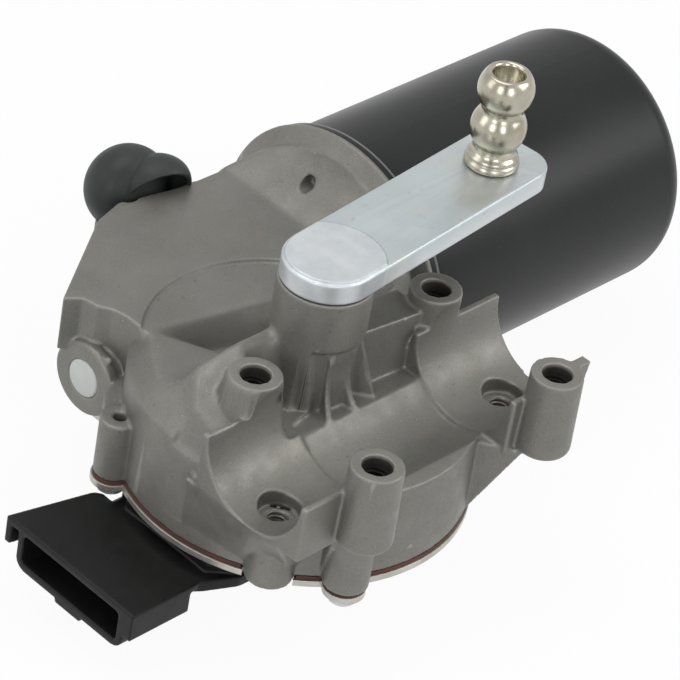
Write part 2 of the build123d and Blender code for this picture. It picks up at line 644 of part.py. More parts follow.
def gear_housing():
    body = joint_outline(BASE_Z, BASE_Z + 4) + cone_z(CHAMBER_R, BASE_Z, CHAMBER_R - 0.5, RIM_Z)
    body += deck_block() + drum_body() + tunnel()
    pocket, step, mark = deck_pocket()
    body -= step
    body -= mark
    fairing = left_fairing()
    body -= pocket
    body += fairing + neck() + neck_ribs() + neck_bridge()
    body += cradle_blocks()
    body += bosses() + screw_pillars()
    body += can_ears(FLANGE_X - FLANGE_T - 2, FLANGE_X, CAN_EAR_R, 0)
    body += ring_x(SPIGOT_R, CAVITY_R, FLANGE_X - 1, SPIGOT_X)
    body += breather_lug()
    body -= saddle_cut()
    body -= housing_cavities()
    body += ring_x(BEARING_BOSS_R, CALOTTE_R + SLIP_FIT / 2, FLANGE_X - FLANGE_T - 1, RETAINER_X)
    body -= wire_chamber()
    body -= neck_bores()
    body -= screw_holes()
    body -= cap_room()
    return body


# ---------------------------------------------------------------- cover side
def cover_gasket():
    seal = joint_outline(COVER_T, BASE_Z)
    seal -= cyl_z(CHAMBER_BORE_R, COVER_T - 1, BASE_Z + 1)
    seal -= wire_chamber()
    for x, y in COVER_SCREWS:
        seal -= cyl_z(COVER_SCREW_R, COVER_T - 1, BASE_Z + 1, x, y)
    return seal


def tower_block(grow, z0, z1):
    return block(TOWER_X - grow, TOWER_X + TOWER_L + grow, TOWER_Y - grow, TOWER_Y + TOWER_W + grow, z0, z1)


def cover_plate():
    """Pressed cover with a stiffening bead and the window of the connector."""
    plate = joint_outline(0, COVER_T, COVER_RIM)
    bead = ring_z(BEAD_R + BEAD_W / 2, BEAD_R - BEAD_W / 2, -BEAD_H, COVER_T)
    bead &= block(-BEAD_R, 2 * BEAD_R, -2 * BEAD_R, BEAD_R, -BEAD_H, COVER_T + BEAD_H)
    bead &= block(-8, 2 * BEAD_R, -2 * BEAD_R, BEAD_R, -BEAD_H, COVER_T + BEAD_H)
    plate += bead
    plate -= tower_block(SLIP_FIT, -1, COVER_T + 1)
    for x, y in COVER_SCREWS:
        plate -= cyl_z(COVER_SCREW_R, -1, COVER_T + 1, x, y)
    return plate


def hex_head(radius, z0, z1):
    face = Pos(0, 0, z0) * RegularPolygon(radius, 6)
    head = extrude(face, amount=z1 - z0, dir=(0, 0, 1))
    return head & cone_z(radius - 0.8, z0, radius + 0.6, z0 + 1.4) + cyl_z(radius + 0.6, z0 + 1.4, z1)


def cover_screws():
    tip = BASE_Z + COVER_SCREW_L - 3
    screw = hex_head(SCREW_HEAD_R, -SCREW_HEAD_H, 0) + cyl_z(COVER_SCREW_R, 0, tip - 1)
    screw += cone_z(COVER_SCREW_R, tip - 1, COVER_SCREW_R - 0.6, tip)
    screw -= cyl_z(SCREW_HEAD_R - 1.8, -SCREW_HEAD_H - 1, -SCREW_HEAD_H + 0.5)
    return [Pos(x, y, 0) * screw for x, y in COVER_SCREWS]


# ---------------------------------------------------------------- output shaft
def output_shaft():
    shaft = cyl_z(SHAFT_R, SHAFT_LOW_Z + 0.6, ARM_BOTTOM)
    shaft += cone_z(SHAFT_R - 0.6, SHAFT_LOW_Z, SHAFT_R, SHAFT_LOW_Z + 0.6)
    shaft += cyl_z(STUB_R, ARM_BOTTOM, ARM_BOTTOM + STUB_L)
    shaft -= ring_z(SHAFT_R + 1, SHAFT_R - CLIP_GROOVE, CLIP_Z, CLIP_Z + CLIP_T)
    return shaft


def shaft_bush(z0):
    bush = ring_z(BUSH_R, SHAFT_R + RUN_FIT, z0, z0 + BUSH_L)
    return chamfer(bush.edges().filter_by(GeomType.CIRCLE).group_by(Axis.Z)[-1], 0.3)


def neck_seal():
    """Lip seal around the shaft above the upper bush."""
    lip = SHAFT_R + RUN_FIT
    return turned_z([(SEAL_R, SEAL_Z), (SEAL_R, SEAL_Z + SEAL_H), (lip + 0.5, SEAL_Z + SEAL_H),
                     (lip, SEAL_Z + SEAL_H - 0.6), (lip + 0.5, SEAL_Z + SEAL_H - 1.2), (lip + 0.5,
                             SEAL_Z + 1.2),
                     (lip, SEAL_Z + 0.6), (lip + 0.5, SEAL_Z)])


def thrust_washer():
    return ring_z(WASHER_R, SHAFT_R + SLIP_FIT, WASHER_Z, WASHER_Z + WASHER_T)


def shaft_circlip():
    clip = ring_z(SHAFT_R + 1.8, SHAFT_R - CLIP_GROOVE, CLIP_Z, CLIP_Z + CLIP_T)
    return clip - block(0, SHAFT_R + 3, -SHAFT_R / 2, SHAFT_R / 2, CLIP_Z - 1, CLIP_Z + CLIP_T + 1)


# ---------------------------------------------------------------- worm wheel and park switch
def wheel_tooth():
    """Straight tooth at +Y, sheared by the worm's lead."""
    half = pi * MODULE / 4 - BACKLASH
    tip = half - (WHEEL_TIP_R - PITCH_R) * FLANK
    foot_r = WHEEL_ROOT_R - 0.6
    foot = half + (PITCH_R - foot_r) * FLANK
    shift = LEAD_SLOPE * WHEEL_W / 2
    outline = Polyline((-foot, foot_r), (foot, foot_r), (tip, WHEEL_TIP_R), (-tip, WHEEL_TIP_R), close=True)
    face = Pos(shift, 0, WHEEL_BOTTOM) * make_face(outline)
    return extrude(face, amount=WHEEL_W * sqrt(1 + LEAD_SLOPE ** 2), dir=(-LEAD_SLOPE, 0, 1))


def worm_wheel():
    web_z = WORM_Z - WHEEL_WEB_T / 2
    rim_r = WHEEL_ROOT_R - WHEEL_RIM_T
    wheel = ring_z(WHEEL_ROOT_R, rim_r, WHEEL_BOTTOM, WHEEL_TOP)
    tooth = wheel_tooth()
    wheel += [Rot(0, 0, 360 / WHEEL_TEETH * i) * tooth for i in range(WHEEL_TEETH)]
    wheel += ring_z(rim_r + 0.5, WHEEL_HUB_R - 0.5, web_z, web_z + WHEEL_WEB_T)
    wheel += ring_z(WHEEL_HUB_R, SHAFT_R - 0.5, HUB_LOW_Z, WHEEL_TOP)
    rib = block(WHEEL_HUB_R - 0.5, rim_r + 0.5, -WHEEL_RIB_T / 2, WHEEL_RIB_T / 2, web_z, WHEEL_TOP - 0.6)
    wheel += [Rot(0, 0, 60 * i + 30) * rib for i in range(6)]
    return wheel - cyl_z(SHAFT_R, HUB_LOW_Z - 1, WHEEL_TOP + 1)


def contact_disc():
    """Switch ring under the wheel's web, with the park notch."""
    top = WORM_Z - WHEEL_WEB_T / 2
    disc = ring_z(CONTACT_R, CONTACT_BORE_R, top - CONTACT_T, top)
    notch = ring_z(CONTACT_R + 1, CONTACT_R - 7, top - 1, top + 1) & block(-5, 5, 10, CONTACT_R + 1, top
            - 1, top + 1)
    return disc - notch


def switch_carrier():
    """Moulded carrier of the park contacts, clipped over the connector's tower inside the cover."""
    front, rear = TOWER_Y - CARRIER_RIM, TOWER_Y + TOWER_W + CARRIER_RIM
    plate = block(TOWER_X - CARRIER_RIM, TOWER_X + CARRIER_L, front, rear, COVER_T, COVER_T + CARRIER_T)
    plate &= cyl_z(CHAMBER_BORE_R - WHEEL_GAP, 0, BASE_Z + TOWER_Z)
    plate -= tower_block(SLIP_FIT, 0, BASE_Z + TOWER_Z)
    return plate


def park_contacts():
    """Sprung fingers of the park switch under the contact disc."""
    z0 = COVER_T + CARRIER_T
    z1 = WORM_Z - WHEEL_WEB_T / 2 - CONTACT_T - SIDE_GAP
    fingers = []
    for x, y in FINGERS:
        finger = slab_y([(x + 6, z0), (x + 11, z0), (x + 11, z0 + FINGER_T), (x + 6.3, z0 + FINGER_T),
                         (x + 1, z1 - 0.2), (x, z1), (x - 1, z1 - 0.2), (x - 1.6, z1 - 0.8),
                         (x - 1.2, z1 - 1), (x - 0.7, z1 - 0.7), (x, z1 - 0.6), (x + 0.7, z1 - 0.8)],
                        y - FINGER_W / 2, y + FINGER_W / 2)
        fingers.append(finger)
    return fingers


# ---------------------------------------------------------------- crank
def crank_arm():
    """Pressed arm with a round end at the shaft, rounded corners at the stud and a coined pad."""
    end = CRANK_R + ARM_END
    bar = block(0, end, -ARM_HALF, ARM_HALF, ARM_BOTTOM, ARM_TOP)
    bar = fillet(bar.edges().filter_by(Axis.Z).group_by(Axis.X)[-1], ARM_CORNER)
    arm = bar + cyl_z(ARM_HALF, ARM_BOTTOM, ARM_TOP)
    arm = fillet(arm.edges().group_by(Axis.Z)[-1], ARM_EDGE)
    arm += cyl_z(PAD_R, ARM_TOP - 1, ARM_TOP + PAD_LIFT) & arm_pad()
    arm -= cyl_z(STUB_R, ARM_BOTTOM - 1, ARM_BOTTOM + STUB_L)
    arm -= cyl_z(STUD_SHANK_R, ARM_BOTTOM - 1, ARM_TOP + 1, CRANK_R, 0)
    return crank_place() * arm


def arm_pad():
    inner = ARM_HALF - ARM_EDGE
    return cyl_z(inner, ARM_TOP - 1, ARM_TOP + 1) + block(0, PAD_R + 1, -inner, inner, ARM_TOP - 1,
            ARM_TOP + 1)


def ball_stud():
    """Hollow double ball, riveted through the arm."""
    low, high = ARM_TOP + BALL_LOW, ARM_TOP + BALL_TOP
    top = high + sqrt(BALL_R ** 2 - STUD_FLAT_R ** 2)
    stud = turned_z([(0, ARM_BOTTOM - RIVET_H), (RIVET_R - 0.8, ARM_BOTTOM - RIVET_H),
                     (RIVET_R, ARM_BOTTOM),
                     (STUD_SHANK_R, ARM_BOTTOM), (STUD_SHANK_R, ARM_TOP), (STUD_BASE_R, ARM_TOP),
                     (STUD_BASE_R, ARM_TOP + STUD_BASE_H), (STUD_WAIST_R, ARM_TOP + STUD_BASE_H + 0.8),
                     (STUD_WAIST_R, high), (0, high)])
    stud += Pos(0, 0, low) * Sphere(BALL_R)
    stud += Pos(0, 0, high) * Sphere(BALL_R)
    stud &= cyl_z(BALL_R + 1, ARM_BOTTOM - RIVET_H, top)
    stud -= cyl_z(STUD_BORE_R, top - STUD_BORE_DEPTH, top + 1)
    stud -= cyl_z(STUD_CORE_R, top - STUD_CORE_DEPTH, top)
    return crank_place() * Pos(CRANK_R, 0, 0) * stud


# ---------------------------------------------------------------- armature
def worm_thread():
    """Right-hand thread with a gap facing the wheel at x = 0."""
    half = pi * MODULE / 4
    foot_r = WORM_ROOT_R - 0.3
    foot = half + (WORM_PITCH_R - foot_r) * FLANK
    tip = half - (WORM_TIP_R - WORM_PITCH_R) * FLANK
    turns = 2 * int(WORM_L / WORM_LEAD / 2) + 0.5
    path = Helix(pitch=WORM_LEAD, height=turns * WORM_LEAD, radius=WORM_PITCH_R)
    outline = Polyline((foot_r, 0, -foot), (WORM_TIP_R, 0, -tip), (WORM_TIP_R, 0, tip),
                       (foot_r, 0, foot), close=True)
    thread = sweep(make_face(outline), path=path, is_frenet=True)
    return Pos(-turns / 2 * WORM_LEAD, WORM_Y, WORM_Z) * Rot(0, 90, 0) * thread


def armature_shaft():
    """Shaft with the worm cut on it and a dimple for the thrust ball in its end."""
    half = WORM_CORE_L / 2
    rim = sqrt(THRUST_BALL_R ** 2 - (SHAFT_START_X - BALL_X) ** 2)
    bend = THRUST_BALL_R * sqrt(0.5)
    dimple = ThreePointArc((BALL_X + THRUST_BALL_R, 0), (BALL_X + bend, bend), (SHAFT_START_X, rim))
    sides = Polyline((SHAFT_START_X, rim), (SHAFT_START_X, ARMATURE_R), (-half, ARMATURE_R),
                     (-half, WORM_ROOT_R),
                     (half, WORM_ROOT_R), (half, ARMATURE_R), (SHAFT_END_X - 0.6, ARMATURE_R),
                     (SHAFT_END_X, ARMATURE_R - 0.6), (SHAFT_END_X, 0), (BALL_X + THRUST_BALL_R, 0))
    shaft = Pos(0, WORM_Y, WORM_Z) * revolve(Plane.XZ * make_face(dimple + sides), Axis.X)
    return shaft + worm_thread()


def thrust_ball():
    return Pos(BALL_X, WORM_Y, WORM_Z) * Sphere(THRUST_BALL_R)


def thrust_plug():
    plug = cyl_x(PLUG_R, TUNNEL_X, TUNNEL_X + PLUG_L)
    return chamfer(plug.edges().group_by(Axis.X)[0], 0.3)


def worm_end_bush():
    return ring_x(END_BUSH_R, ARMATURE_R + RUN_FIT, END_BUSH_X, END_BUSH_X + END_BUSH_L)


def calotte_bush(x0):
    """Self-aligning bush, round on its outside."""
    bore = ARMATURE_R + RUN_FIT
    edge = sqrt(CALOTTE_R ** 2 - (CALOTTE_L / 2) ** 2)
    arc = ThreePointArc((x0, edge), (x0 + CALOTTE_L / 2, CALOTTE_R), (x0 + CALOTTE_L, edge))
    sides = Polyline((x0 + CALOTTE_L, edge), (x0 + CALOTTE_L, bore), (x0, bore), (x0, edge))
    return Pos(0, WORM_Y, WORM_Z) * revolve(Plane.XZ * make_face(arc + sides), Axis.X)


def bearing_retainer():
    """Spring ring that holds the front bush in its seat."""
    ring = ring_x(BEARING_BOSS_R, RETAINER_BORE_R, RETAINER_X, RETAINER_X + RETAINER_T)
    for angle in range(0, 360, 60):
        dy, dz = 8.4 * cos(radians(angle)), 8.4 * sin(radians(angle))
        ring -= cyl_x(1.0, RETAINER_X - 1, RETAINER_X + 2, WORM_Y + dy, WORM_Z + dz)
    return ring


def around_motor(piece, angle):
    """Turn a piece built on the +Y side of the armature axis round that axis."""
    return Pos(0, WORM_Y, WORM_Z) * Rot(angle, 0, 0) * Pos(0, -WORM_Y, -WORM_Z) * piece


def slot_cutter(inset, x0, x1):
    """Body of one winding slot at +Y, shrunk by the inset."""
    outer = CORE_R - TOOTH_TIP_T - inset
    inner = SLOT_FLOOR_R + inset
    pitch = tan(pi / CORE_SLOTS)
    wide = outer * pitch - CORE_TOOTH_W / 2 - inset
    narrow = inner * pitch - CORE_TOOTH_W / 2 + 0.4 - inset
    return slab_x([(WORM_Y + inner, WORM_Z - narrow), (WORM_Y + outer, WORM_Z - wide),
                   (WORM_Y + outer, WORM_Z + wide), (WORM_Y + inner, WORM_Z + narrow)], x0, x1)


def armature_core():
    x0, x1 = CORE_X - CORE_L / 2, CORE_X + CORE_L / 2
    core = cyl_x(CORE_R, x0, x1)
    slot = slot_cutter(0, x0 - 1, x1 + 1)
    slot += block(x0 - 1, x1 + 1, WORM_Y + CORE_R - TOOTH_TIP_T - 1, WORM_Y + CORE_R + 1,
                  WORM_Z - SLOT_MOUTH / 2, WORM_Z + SLOT_MOUTH / 2)
    core -= [around_motor(slot, 360 / CORE_SLOTS * i) for i in range(CORE_SLOTS)]
    return core - cyl_x(ARMATURE_R, x0 - 1, x1 + 1)


def armature_windings():
    """Coil sides in the slots and the two bulging ends."""
    x0, x1 = CORE_X - CORE_L / 2, CORE_X + CORE_L / 2
    inner, outer = ARMATURE_R + 2, CORE_R - TOOTH_TIP_T - 0.6
    front = turned_x([(x0, inner), (x0, outer - 1), (x0 - 3, outer), (x0 - END_TURN_L + 1, outer - 1.4),
                      (x0 - END_TURN_L, outer - 5), (x0 - END_TURN_L, inner + 2), (x0 - 3, inner)])
    rear = turned_x([(x1, inner), (x1 + 3, inner), (x1 + END_TURN_L, inner + 2),
                     (x1 + END_TURN_L, outer - 5),
                     (x1 + END_TURN_L - 1, outer - 1.4), (x1 + 3, outer), (x1, outer - 1)])
    side = slot_cutter(WINDING_GAP, x0 - 1, x1 + 1)
    return front + rear + [around_motor(side, 360 / CORE_SLOTS * i) for i in range(CORE_SLOTS)]


def commutator_hub():
    hub = ring_x(BAR_BORE_R, ARMATURE_R, COMMUTATOR_X, COMMUTATOR_X + COMMUTATOR_L)
    return hub + ring_x(BAR_BORE_R - 1.5, ARMATURE_R, COMMUTATOR_X + COMMUTATOR_L - 0.1, COMMUTATOR_X
                        + COMMUTATOR_L + 1)


def commutator_bars():
    end = COMMUTATOR_X + COMMUTATOR_L
    ring = ring_x(COMMUTATOR_R, BAR_BORE_R, COMMUTATOR_X, end) + ring_x(RISER_R, BAR_BORE_R, end - 2, end)
    gap = block(COMMUTATOR_X - 1, end + 1, WORM_Y, WORM_Y + RISER_R + 1, WORM_Z - BAR_GAP / 2, WORM_Z
                + BAR_GAP / 2)
    ring -= [around_motor(gap, 360 / BARS * i) for i in range(BARS)]
    return ring.solids()


# ---------------------------------------------------------------- motor
def can_end(radius, corner, end):
    """Corner arc and crown arc of the can's end, tangent to each other and to the can's side."""
    depth = end - CAN_STRAIGHT_X
    crown = (radius ** 2 + depth ** 2 - 2 * radius * corner) / (2 * (depth - corner))
    slope = atan2(radius - corner, crown - depth)
    joint = (end - crown + crown * cos(slope), crown * sin(slope))
    middle = (CAN_STRAIGHT_X + corner * cos((slope + pi / 2) / 2), radius - corner
              + corner * sin((slope + pi / 2) / 2))
    halfway = (end - crown + crown * cos(slope / 2), crown * sin(slope / 2))
    return [ThreePointArc((CAN_STRAIGHT_X, radius), middle, joint), ThreePointArc(joint, halfway, (end, 0))]


def can_shell():
    """Drawn shell: straight side, elliptic dome and the seat of the rear bearing inside the dome."""
    inner_end = CAN_END_X - CAN_T
    outer = can_end(CAN_R, CAN_CORNER_R, CAN_END_X)
    inner = can_end(CAN_BORE_R, CAN_CORNER_R - CAN_T, inner_end)
    sides = [Line((CAN_STRAIGHT_X, CAN_R), (CAN_X, CAN_R)), Line((CAN_X, CAN_R), (CAN_X, CAN_BORE_R)),
             Line((CAN_X, CAN_BORE_R), (CAN_STRAIGHT_X, CAN_BORE_R)), Line((inner_end, 0), (CAN_END_X, 0))]
    shell = Pos(0, WORM_Y, WORM_Z) * revolve(Plane.XZ * make_face(outer + inner + sides), Axis.X)
    return shell + ring_x(CALOTTE_R + 2, CALOTTE_R + SLIP_FIT / 2, DOME_BUSH_X - 0.5, inner_end - 0.3)


def motor_can():
    lip = can_ears(CAN_X, CAN_X + CAN_LIP_T, CAN_EAR_R, CAN_SCREW_R + SIDE_GAP)
    lip += cyl_x(CAN_LIP_R, CAN_X, CAN_X + CAN_LIP_T)
    lip -= cyl_x(CAN_R - 0.5, CAN_X - 1, CAN_X + CAN_LIP_T + 1)
    return can_shell() + lip


def can_seal():
    seal = cyl_x(CAN_LIP_R, FLANGE_X, CAN_X) + can_ears(FLANGE_X, CAN_X, CAN_EAR_R, CAN_SCREW_R)
    return seal - cyl_x(CAN_BORE_R, FLANGE_X - 1, CAN_X + 1)


def can_screws():
    seat = CAN_X + CAN_LIP_T
    length = seat - CAN_X + CAN_SCREW_L - 0.4
    screw = hex_head(CAN_HEAD_R, -CAN_HEAD_H, 0) + cyl_z(CAN_SCREW_R, 0, length)
    return [Pos(seat, y, z) * Rot(0, -90, 0) * screw for y, z in ear_places()]


def field_magnets():
    x0, x1 = CORE_X - MAGNET_L / 2, CORE_X + MAGNET_L / 2
    tube = ring_x(CAN_BORE_R, MAGNET_BORE_R, x0, x1)
    half = radians(MAGNET_ARC / 2)
    far = 2 * CAN_BORE_R
    wedge = [(WORM_Y, WORM_Z), (WORM_Y + far * cos(half), WORM_Z + far * sin(half)),
             (WORM_Y + far, WORM_Z + far),
             (WORM_Y + far, WORM_Z - far), (WORM_Y + far * cos(half), WORM_Z - far * sin(half))]
    shell = tube & slab_x(wedge, x0 - 1, x1 + 1)
    return [around_motor(shell, angle) for angle in (0, 180)]


def brush_plate():
    plate = ring_x(PLATE_R, PLATE_BORE_R, PLATE_X, PLATE_X + PLATE_T)
    for angle in (35, 325):
        cut = cyl_x(2.2, PLATE_X - 1, PLATE_X + PLATE_T + 1, WORM_Y + PLATE_R - 4, WORM_Z)
        plate -= around_motor(cut, angle)
    return plate


def brush_holders():
    """Guides of the carbon brushes, standing on the brush plate."""
    x0, x1 = PLATE_X + PLATE_T, BRUSH_X + BRUSH_T / 2 + HOLDER_T + SLIP_FIT
    half_w = BRUSH_W / 2 + HOLDER_T + SLIP_FIT
    guide = block(x0, x1, WORM_Y + HOLDER_R, WORM_Y + HOLDER_END_R, WORM_Z - half_w, WORM_Z + half_w)
    guide -= block(BRUSH_X - BRUSH_T / 2 - SLIP_FIT, BRUSH_X + BRUSH_T / 2 + SLIP_FIT, WORM_Y + HOLDER_R
                   - 1,
                   WORM_Y + HOLDER_END_R - HOLDER_T, WORM_Z - BRUSH_W / 2 - SLIP_FIT, WORM_Z + BRUSH_W / 2 + SLIP_FIT)
    guide -= block(x0 + 2, BRUSH_X - BRUSH_T / 2 - HOLDER_T - SLIP_FIT, WORM_Y + HOLDER_R - 1,
                   WORM_Y + HOLDER_END_R - 3, WORM_Z - half_w + HOLDER_T, WORM_Z + half_w - HOLDER_T)
    return [around_motor(guide, angle) for angle in BRUSH_ANGLES]


def carbon_brushes():
    start = COMMUTATOR_R + RUN_FIT
    brush = block(BRUSH_X - BRUSH_T / 2, BRUSH_X + BRUSH_T / 2, WORM_Y + start - 1, WORM_Y + start
                  + BRUSH_L,
                  WORM_Z - BRUSH_W / 2, WORM_Z + BRUSH_W / 2)
    brush -= cyl_x(start, BRUSH_X - BRUSH_T, BRUSH_X + BRUSH_T)
    return [around_motor(brush, angle) for angle in BRUSH_ANGLES]


def brush_springs():
    """Coil springs between each brush and the closed end of its guide."""
    start = COMMUTATOR_R + RUN_FIT + BRUSH_L
    height = HOLDER_END_R - HOLDER_T - start - 2 * SPRING_WIRE_R
    path = Helix(pitch=height / SPRING_TURNS, height=height, radius=SPRING_R)
    section = Plane(origin=path @ 0, z_dir=path % 0) * Rectangle(2 * SPRING_WIRE_R, 2 * SPRING_WIRE_R)
    coil = sweep(section, path=path, is_frenet=True)
    coil = Pos(BRUSH_X, WORM_Y + start + SPRING_WIRE_R, WORM_Z) * Rot(-90, 0, 0) * coil
    return [around_motor(coil, angle) for angle in BRUSH_ANGLES]


def choke_coils():
    """Wound rods that stand on the brush plate between the guides."""
    x0 = PLATE_X + PLATE_T
    rod = cyl_x(CHOKE_R - 0.8, x0, x0 + CHOKE_L, WORM_Y + CHOKE_REACH, WORM_Z)
    for i in range(CHOKE_TURNS):
        x = x0 + 2 + i * (CHOKE_L - 4) / CHOKE_TURNS
        rod += cyl_x(CHOKE_R, x, x + 0.7, WORM_Y + CHOKE_REACH, WORM_Z)
    return [around_motor(rod, angle) for angle in CHOKE_ANGLES]


# ---------------------------------------------------------------- connector
def long_edges(body, low=None):
    """Edges that run along X, all of them or only those of the underside."""
    edges = body.edges().filter_by(Axis.X)
    return edges.group_by(Axis.Z)[0] if low else edges


def socket_shell():
    """Deep lower shell with round corners and the keyway under it."""
    shell = block(SOCKET_X, SOCKET_BACK_X, SOCKET_RIGHT_Y, SOCKET_LEFT_Y, SOCKET_BOTTOM, SOCKET_TOP - 0.4)
    shell = fillet(long_edges(shell, True), SHELL_CORNER)
    key = block(SOCKET_X, SOCKET_BACK_X, KEY_Y, KEY_Y + KEY_W, SOCKET_BOTTOM - KEY_H, SOCKET_BOTTOM + 1)
    return shell + fillet(long_edges(key, True), KEY_H / 2)


def socket_arch():
    """Top plate with the hooked guide rails; the left one runs in towards the neck."""
    left, right = SOCKET_LEFT_Y + HOOK_REACH + SOCKET_WALL, SOCKET_RIGHT_Y - HOOK_REACH
    inset = RAIL_RUN_IN * HOOK_REACH
    plate = prism([(SOCKET_X, right), (SOCKET_X, left), (-40.8, left - inset), (-38.8, 19.5), (-39, 16.3),
                   (-39, -14), (-43, right)], SOCKET_TOP - SOCKET_WALL, SOCKET_TOP)
    rail = prism([(SOCKET_X, left), (-40.8, left - inset), (-44, 20.5),
                  (-50, left - inset / 2 - SOCKET_WALL),
                  (SOCKET_X, left - SOCKET_WALL)], SOCKET_TOP - HOOK_H, SOCKET_TOP)
    rail += block(SOCKET_X, SOCKET_BACK_X - 1, right, SOCKET_RIGHT_Y + 0.5, SOCKET_TOP - HOOK_H, SOCKET_TOP)
    return plate + rail


def neck_outline():
    return [(-44.5, -13), (-40.7, -15.4), (-33.3, -18.6), (-27, -19), (-20, -12), (-20, 19.4), (-33, 19.4),
            (-36.4, 16.3), (-39, 16.3), (-38.8, 19.5), (-40, 21.1), (-44.5, 22)]


def pad_outline():
    return [(-38.4, -13), (-33.3, -17.6), (-27, -19), (-20, -12), (-20, 19.4), (-30.4, 19.4),
            (-31.4, 15.4), (-38.4, 13)]


def connector_housing():
    left, right = SOCKET_LEFT_Y - SOCKET_WALL, SOCKET_RIGHT_Y + SOCKET_WALL
    body = socket_shell() + socket_arch()
    body &= slab_y([(SOCKET_X - 1, SOCKET_BOTTOM - 2), (SOCKET_BACK_X - 1.6, SOCKET_BOTTOM - 2),
                    (SOCKET_BACK_X, -4.4), (-30, -4.4), (-30, 1), (SOCKET_X - 1, 1)], right - 9, left + 9)
    bore = block(SOCKET_X - 1, SOCKET_BACK_X - BACK_WALL, right, left, SOCKET_BOTTOM + SOCKET_WALL,
                 SOCKET_TOP - SOCKET_WALL)
    body -= fillet(long_edges(bore), SHELL_CORNER - SOCKET_WALL)
    body += prism(neck_outline(), -PLINTH_T, SOCKET_TOP) + prism(pad_outline(), SOCKET_TOP, 0)
    body += tower_block(0, -1, TOWER_Z)
    return body - terminal_row()


def terminal():
    """One bent blade: contact pin, rise through the wall and leg up through the tower."""
    x0, x1, x2 = SOCKET_X + PIN_SETBACK, SOCKET_BACK_X - 1.8, TOWER_X + TOWER_L / 2
    z0, z1 = PIN_Z, PIN_NECK_Z
    half = PIN_T / 2
    return slab_y([(x0, z0 - half + 0.2), (x0 + 0.8, z0 - half), (x1 + half, z0 - half),
                   (x1 + half, z1 - half),
                   (x2 + half, z1 - half), (x2 + half, TOWER_Z + 1), (x2 - half, TOWER_Z + 1), (x2
                           - half, z1 + half),
                   (x1 - half, z1 + half), (x1 - half, z0 + half), (x0 + 0.8, z0 + half), (x0, z0 + half
                           - 0.2)],
                  -PIN_W / 2, PIN_W / 2)


def connector_terminals():
    blade = terminal()
    first = SOCKET_Y - PIN_PITCH * (PIN_COUNT - 1) / 2
    return [Pos(0, first + PIN_PITCH * i, 0) * blade for i in range(PIN_COUNT)]


def terminal_row():
    blades = connector_terminals()
    row = blades[0]
    for blade in blades[1:]:
        row += blade
    return row


# ---------------------------------------------------------------- ventilation cap
def breather_cap():
    """Rubber cap: a round dome over the nipple and a side lobe that is open underneath."""
    rim = CAP_Z - CAP_SKIRT
    dome = Pos(CAP_X, CAP_Y, CAP_Z) * Sphere(CAP_R)
    dome &= block(CAP_X - 20, CAP_X + 20, CAP_Y - 20, CAP_Y + 20, rim, CAP_Z + 20)
    lobe = cyl_x(SPOUT_R, CAP_X, SPOUT_X, CAP_Y, SPOUT_Z) + Pos(SPOUT_X, CAP_Y, SPOUT_Z) * Sphere(SPOUT_R)
    lobe &= block(CAP_X, SPOUT_X + 20, CAP_Y - 20, CAP_Y + 20, SPOUT_LIP_Z, CAP_Z + 20)
    groove = Pos(CAP_X + CAP_R - 1.6, CAP_Y, CAP_Z - 1) * Rot(0, 75, 0) * Torus(SPOUT_R + 1.9, GROOVE_R)
    inside = SPOUT_R - CAP_WALL
    hollow = cyl_x(inside, CAP_X + CAP_R, SPOUT_X, CAP_Y, SPOUT_Z) + Pos(SPOUT_X, CAP_Y,
            SPOUT_Z) * Sphere(inside)
    body = dome + lobe - groove - hollow
    body -= cyl_z(NIPPLE_R, rim - 1, CAP_Z + 2, CAP_X, CAP_Y)
    body -= cyl_z(VENT_R, CAP_Z, CAP_Z + 4, CAP_X, CAP_Y)
    return body - cyl_x(VENT_R, CAP_X, SPOUT_X, CAP_Y, CAP_Z + 3 - VENT_R)


# ---------------------------------------------------------------- pieces
PIECES = {
    "gear_housing": gear_housing, "cover_gasket": cover_gasket, "cover_plate": cover_plate,
    "cover_screws": cover_screws, "output_shaft": output_shaft,
    "lower_shaft_bush": lambda: shaft_bush(LOWER_BUSH_Z), "upper_shaft_bush": lambda: shaft_bush(UPPER_BUSH_Z),
    "neck_seal": neck_seal, "thrust_washer": thrust_washer, "shaft_circlip": shaft_circlip,
    "worm_wheel": worm_wheel, "contact_disc": contact_disc, "switch_carrier": switch_carrier,
    "park_contacts": park_contacts, "crank_arm": crank_arm, "ball_stud": ball_stud,
    "armature_shaft": armature_shaft, "thrust_ball": thrust_ball, "thrust_plug": thrust_plug,
    "worm_end_bush": worm_end_bush, "front_bearing": lambda: calotte_bush(CALOTTE_X),
    "bearing_retainer": bearing_retainer, "rear_bearing": lambda: calotte_bush(DOME_BUSH_X),
    "armature_core": armature_core, "armature_windings": armature_windings,
    "commutator_hub": commutator_hub, "commutator_bars": commutator_bars, "motor_can": motor_can,
    "can_seal": can_seal, "can_screws": can_screws, "field_magnets": field_magnets,
    "brush_plate": brush_plate, "brush_holders": brush_holders, "carbon_brushes": carbon_brushes,
    "brush_springs": brush_springs, "choke_coils": choke_coils, "connector_housing": connector_housing,
    "connector_terminals": connector_terminals, "breather_cap": breather_cap,
}

TO_BOSSES = Pos(-BOSS_X, -BOSS_Y, -BOSS_Z)

os.makedirs("parts", exist_ok=True)
for name, make in PIECES.items():
    built = make()
    solids = built if isinstance(built, list) else built.solids()
    moved = [TO_BOSSES * solid for solid in solids]
    export_step(Compound(children=moved) if len(moved) > 1 else moved[0], f"parts/{name}.step")
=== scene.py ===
from math import acos, cos, pi, radians, sin, sqrt

